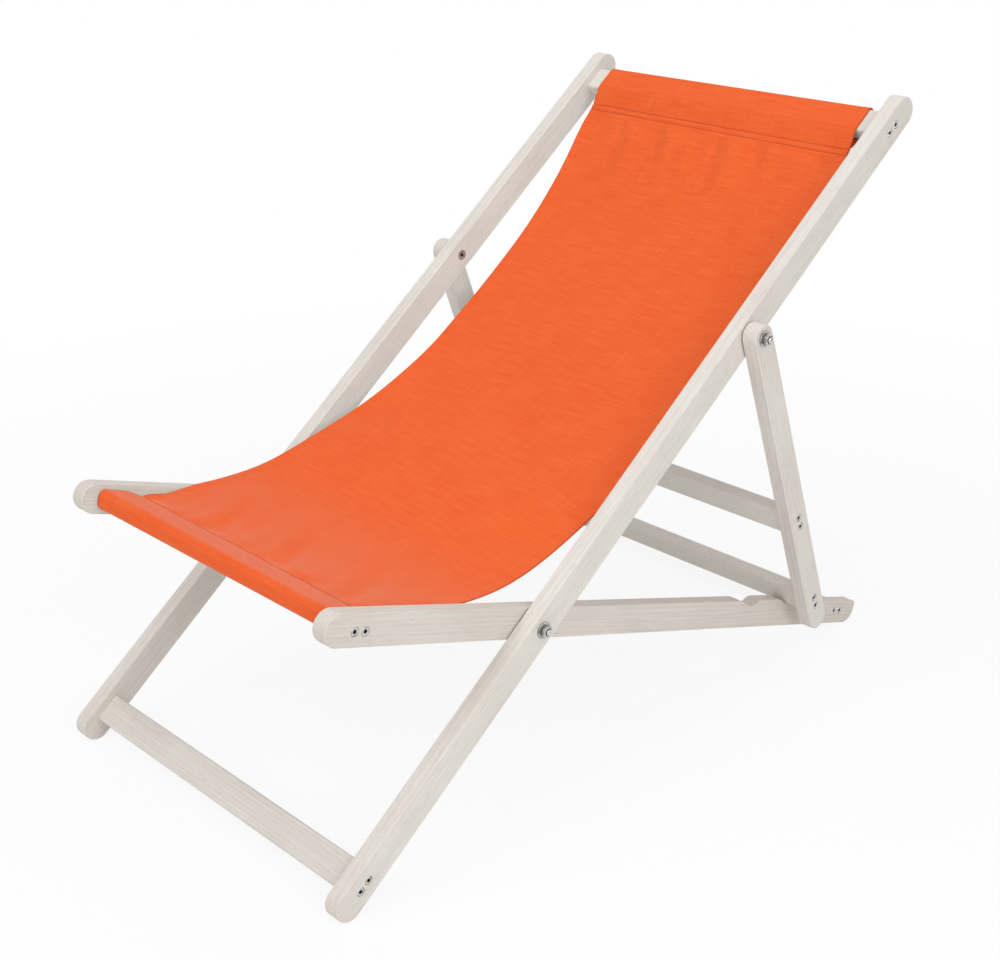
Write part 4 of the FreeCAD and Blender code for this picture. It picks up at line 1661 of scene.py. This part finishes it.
    def rise(self, across: np.ndarray, run: np.ndarray) -> np.ndarray:
        """Let the cloth stand out from its middle line in seam dents, puckers and slack folds.

        Args:
            across: places across the cloth.
            run: places along the cloth.

        Returns:
            The rise along the normal, in metres.
        """
        chance = np.random.default_rng(self.seed)
        rise = -self.dent * self.seams(across, run)
        below = run - self.top_seam_at - self.seam_shift - self.top_rows / 2
        ahead = self.front_seam_at - run
        for away, ripples, leans in (
            (below, self.top_ripples, self.top_leans),
            (ahead, self.front_ripples, self.front_leans),
        ):
            for length, height in ripples:
                lean, phase = chance.uniform(*leans), chance.uniform(0, math.tau)
                ripple = np.cos(math.tau * (across + lean * away) / length + phase)
                rise += height * ripple * self.pucker(away)
        hanging = np.clip(np.minimum(below, ahead) / self.slack_start, 0.0, 1.0)
        for length, height in self.slack_folds:
            phase, slant = chance.uniform(0, math.tau), chance.uniform(*self.slack_slants)
            rise += height * hanging * np.sin(math.tau * (run + slant * across) / length + phase)
        return rise

    def at(self, across: np.ndarray, run: np.ndarray) -> tuple[np.ndarray, np.ndarray]:
        """Return points of the cloth's middle surface and its plain normals in the side view.

        Args:
            across: places across the cloth.
            run: places along the cloth.

        Returns:
            The points and the normals, as arrays with X, Y and Z last.
        """
        across, run = np.broadcast_arrays(across, run)
        spots = [np.interp(run, self.run, self.points[:, i]) for i in (0, 1)]
        outs = [np.interp(run, self.run, self.normals[:, i]) for i in (0, 1)]
        rise = self.rise(across, run) + self.hang(across, run)
        near_top = bell(np.maximum(run - self.top_seam_at, 0.0), self.top_widen_reach)
        lateral = across + near_top * (self.top_shift + across / self.width * 2 * self.top_widen)
        points = np.stack((lateral, spots[0] + outs[0] * rise, spots[1] + outs[1] * rise), axis=-1)
        return points, np.stack((np.zeros_like(across), *outs), axis=-1)

    def strip(self, across: np.ndarray) -> bpy.types.Mesh:
        """Build the cloth without its thickness.

        Args:
            across: places of the columns of points.

        Returns:
            The mesh, row by row along the cloth, with its UV map in metres and the painted shade of its
            seam rows and side edges marked as the attribute "crease".
        """
        points, _ = self.at(across[None, :], self.run[:, None])
        rows, columns = points.shape[:2]
        index = np.arange(rows * columns).reshape(rows, columns)
        faces = np.stack((index[:-1, :-1], index[1:, :-1], index[1:, 1:], index[:-1, 1:]), axis=-1)
        mesh = bpy.data.meshes.new("sling_cloth")
        mesh.from_pydata(points.reshape(-1, 3).tolist(), [], faces.reshape(-1, 4).tolist())
        layer = mesh.uv_layers.new(name="cloth")
        flat = np.stack(np.broadcast_arrays(across[None, :], self.run[:, None]), axis=-1).reshape(-1, 2)
        corners = np.empty(len(mesh.loops), dtype=np.int64)
        mesh.loops.foreach_get("vertex_index", corners)
        layer.data.foreach_set("uv", flat[corners].astype(np.float32).ravel())
        # painted shade: dark along the seam rows and along the cloth's side edges
        crease = self.seams(across[None, :], self.run[:, None])
        crease += self.edge_shade * bell(self.width / 2 - np.abs(across), self.edge_shade_width)
        mark(mesh, "crease", np.clip(crease, 0.0, 1.0).ravel())
        return mesh

    def surface(self) -> bpy.types.Object:
        """Build the cloth as one strip with its thickness.

        Returns:
            The cloth, thicker at its side hems.
        """
        half = self.width / 2
        hem = np.array((self.side_hem, self.side_hem * 0.45, *self.edge_columns))
        even = np.linspace(-half, half, self.columns + 1)
        across = np.unique(np.concatenate((even, half - hem, hem - half)))
        item = as_object("sling_cloth", self.strip(across))
        index = np.arange(len(item.data.vertices)).reshape(-1, len(across))
        group = item.vertex_groups.new(name="thickness")
        thin = self.thickness / self.hem_thickness
        for column, place in enumerate(across):
            at_hem = abs(place) > half - self.side_hem * 0.9
            group.add(index[:, column].tolist(), 1.0 if at_hem else thin, "REPLACE")
        solidify = item.modifiers.new("cloth", "SOLIDIFY")
        solidify.thickness = self.hem_thickness
        solidify.offset = 0.0
        solidify.vertex_group = group.name
        shaded(finished_mesh(item), self.crease_angle)
        item.vertex_groups.clear()
        return item

    def stitch(self, under: float) -> bpy.types.Mesh:
        """Build one stitch: a short raised thread on each face of the cloth.

        Args:
            under: depth of the lower face below the cloth's middle surface.

        Returns:
            The mesh, its length along X and the upper face at +Z.
        """
        half = self.stitch_pitch * self.stitch_share / 2
        turns = [math.tau * i / self.stitch_sides for i in range(self.stitch_sides)]
        threads = []
        for height in (self.thickness / 2 + self.stitch_lift, -under - self.stitch_lift):
            loops = []
            for share, size in self.stitch_profile:
                wide = size * self.stitch_radius
                high = wide * self.stitch_flatness
                loops.append([
                    (share * half, wide * math.cos(turn), height + high * math.sin(turn)) for turn in turns
                ])
            threads.append(loops)
        mesh = lofted("stitch", threads)
        mesh.shade_smooth()
        return mesh

    def places(self, across: np.ndarray | float, run: np.ndarray, lengthwise: bool) -> list[Matrix]:
        """Find the places of a row of stitches.

        Args:
            across: places across the cloth.
            run: places along the cloth.
            lengthwise: whether the row runs along the cloth.

        Returns:
            Places whose X axis follows the row and whose Z axis stands out.
        """
        points, outs = self.at(across, run)
        found = []
        for spot, out in zip(points, outs):
            normal = Vector(out).normalized()
            along = normal.cross(LATERAL) if lengthwise else LATERAL
            turn = Matrix((along, normal.cross(along), normal)).transposed().to_4x4()
            found.append(Matrix.Translation(Vector(spot)) @ turn)
        return found

    def sew(self, finishes: Finishes, copies: PlacedCopies) -> list[bpy.types.Object]:
        """Sew the hems and the side edges.

        Args:
            finishes: the chair's finishes.
            copies: the tree that places the stitches.

        Returns:
            The stitches of the hems and those of the edges.
        """
        half = self.width / 2 - self.hem_margin
        across = np.arange(-half, half, self.stitch_pitch)
        hems = [place for row in self.seam_rows(across) for place in self.places(across, row, False)]
        ends = (self.top_seam_at + self.edge_margin, self.front_seam_at - self.edge_margin)
        run = np.arange(*ends, self.stitch_pitch)
        edge = self.width / 2 - self.side_hem * 0.8
        edges = [place for side in (-edge, edge) for place in self.places(side, run, True)]
        rows = (
            ("hem_stitches", self.layer_gap + self.thickness / 2, hems, 3),
            ("edge_stitches", self.thickness / 2, edges, 4),
        )
        return [
            copies.make(name, self.stitch(under), places, finishes.thread,
                        uneven=self.stitch_uneven, spin=self.stitch_spin, seed=seed)
            for name, under, places, seed in rows
        ]

    def bend(self) -> tuple[Vector, Vector]:
        """Find where the cloth bends as the chair folds.

        Returns:
            The points between which the cloth goes over from the back frame to the seat frame.
        """
        length = self.front_seam_at - self.top_seam_at
        return tuple(
            Vector(self.at(np.array(0.0), np.array(self.top_seam_at + length * share))[0])
            for share in self.bend_shares
        )

    def build(self, finishes: Finishes, copies: PlacedCopies) -> None:
        """Build the cloth and its stitches.

        Args:
            finishes: the chair's finishes.
            copies: the tree that places the stitches.
        """
        cloth = self.surface()
        dressed(cloth, finishes.canvas)
        stitches = self.sew(finishes, copies)
        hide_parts("sling")
        start, end = self.bend()
        for piece in (cloth, *stitches):
            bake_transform(piece)
        for piece in stitches:
            dressed(piece, finishes.thread)


# The studio


@dataclass(frozen=True)
class Lamp:
    """A square soft lamp that looks at the chair."""

    name: str
    spot: Spot
    size: float
    power: float
    aim: Spot = (0.0, 0.0, 0.35)

    def build(self) -> None:
        """Hang the lamp."""
        data = bpy.data.lights.new(self.name, "AREA")
        data.size = self.size
        data.energy = self.power
        lamp = bpy.data.objects.new(self.name, data)
        lamp.location = self.spot
        way = Vector(self.aim) - Vector(self.spot)
        lamp.rotation_euler = way.to_track_quat("-Z", "Y").to_euler()
        bpy.context.scene.collection.objects.link(lamp)


@dataclass
class Studio:
    """Camera, light and floor."""

    camera_spot: Spot = (1.39385, -1.3381, 1.12234)
    azimuth: float = 46.0
    elevation: float = 23.24
    roll: float = -0.29
    focal_pixels: float = 1618.38
    image_width: float = 1000.0
    sensor: float = 36.0
    lamps: tuple[Lamp, ...] = (
        Lamp("front", (-0.32, -2.4, 2.43), 2.2, 33.0),
        Lamp("side", (2.55, -0.85, 1.6), 2.0, 31.5),
        Lamp("top", (0.0, 0.6, 3.3), 2.4, 26.0),
    )
    white: Colour = (1.0, 1.0, 1.0, 1.0)
    surround: float = 0.42
    floor_colour: Colour = (0.9, 0.9, 0.9, 1.0)
    floor_radius: float = 24.0
    floor_thickness: float = 20 * MM
    shadow_reach: Range = (0.7, 1.8)
    shadow_glow: float = 0.88

    def set_camera(self) -> None:
        """Set the camera at the photograph's viewing angle."""
        turn, tilt, roll = (math.radians(angle) for angle in (self.azimuth, self.elevation, self.roll))
        back = Vector((math.sin(turn) * math.cos(tilt), -math.cos(turn) * math.cos(tilt), math.sin(tilt)))
        right = Vector((0.0, 0.0, 1.0)).cross(back).normalized()
        up = back.cross(right)
        level = right * math.cos(roll) + up * math.sin(roll)
        upright = up * math.cos(roll) - right * math.sin(roll)
        data = bpy.data.cameras.new("camera")
        data.sensor_width = self.sensor
        data.lens = self.focal_pixels * self.sensor / self.image_width
        data.clip_end = 100.0
        camera = bpy.data.objects.new("camera", data)
        turned_to = Matrix((level, upright, back)).transposed().to_4x4()
        camera.matrix_world = Matrix.Translation(self.camera_spot) @ turned_to
        bpy.context.scene.collection.objects.link(camera)
        bpy.context.scene.camera = camera

    def seen_rays(self, shading: Shading) -> bpy.types.NodeSocket:
        """Pick out the rays that show the background to the camera, in metal and through glass.

        Args:
            shading: the nodes of the world or the floor.

        Returns:
            1 for such rays, else 0.
        """
        path = shading.add("ShaderNodeLightPath").outputs
        seen = shading.calc("MAXIMUM", path["Is Camera Ray"], path["Is Glossy Ray"])
        return shading.calc("MAXIMUM", seen, path["Is Transmission Ray"])

    def light(self) -> None:
        """Set the lamps and an even surround, which is white where it is seen or mirrored."""
        for lamp in self.lamps:
            lamp.build()
        world = bpy.data.worlds.new("surround")
        bpy.context.scene.world = world
        shading = Shading.afresh(world)
        strength = shading.ramp(self.seen_rays(shading), 0.0, 1.0, self.surround, 1.0)
        light = shading.add("ShaderNodeBackground", {"Color": self.white, "Strength": strength})
        shading.add("ShaderNodeOutputWorld", {"Surface": light.outputs[0]})
        bpy.context.scene.view_settings.view_transform = "Standard"

    def lay_floor(self) -> None:
        """Lay a white floor that keeps a soft shadow of the chair."""
        rings = ((self.floor_radius, -self.floor_thickness), (self.floor_radius, 0.0))
        floor = as_object("floor", turned("floor", rings, 96))
        material = bpy.data.materials.new("floor")
        shading = Shading.afresh(material)
        matt = shading.add("ShaderNodeBsdfDiffuse", {"Color": self.floor_colour})
        glow = shading.add("ShaderNodeEmission", {"Color": self.white, "Strength": 1.0})
        away = shading.add("ShaderNodeVectorMath", {0: shading.place()}, operation="LENGTH")
        clear = shading.ramp(away.outputs["Value"], *self.shadow_reach, self.shadow_glow, 1.0)
        share = shading.scaled(self.seen_rays(shading), clear)
        surface = shading.add("ShaderNodeMixShader", {"Fac": share, 1: matt.outputs[0], 2: glow.outputs[0]})
        shading.add("ShaderNodeOutputMaterial", {"Surface": surface.outputs[0]})
        floor.data.materials.append(material)

    def build(self) -> None:
        """Set up everything round the chair."""
        self.set_camera()
        self.light()
        self.lay_floor()


def main() -> None:
    """Build the studio and the chair."""
    logging.basicConfig(level=logging.INFO, format="%(name)s %(message)s")
    Studio().build()
    finishes = Finishes.make_all()
    copies = PlacedCopies()
    assemblies = (
        WoodFrame("back_frame", ("back_rail_left", "back_rail_right"),
                  ("top_cross_rail", "foot_cross_rail"), 10),
        WoodFrame("seat_frame", ("seat_rail_left", "seat_rail_right"),
                  ("seat_front_rail", "seat_rear_rail"), 30,
                  screw_shift=(2.8 * MM, -1.5 * MM), tint=0.3),
        # painted light: the prop's cross rails are drawn paler, standing in for light that the sling keeps
        # off them
        WoodFrame("prop_frame", ("prop_arm_left", "prop_arm_right"),
                  ("prop_upper_rail", "prop_locking_bar"), 50,
                  screw_shift=(-2.8 * MM, 0.0), cross_painted_light=-0.35),
        PivotHardware("seat", "seat_frame", "seat_fold"),
        PivotHardware("prop", "back_frame", "prop_fold"),
        Sling(),
    )
    for assembly in assemblies:
        assembly.build(finishes, copies)


if __name__ == "__main__":
    main()
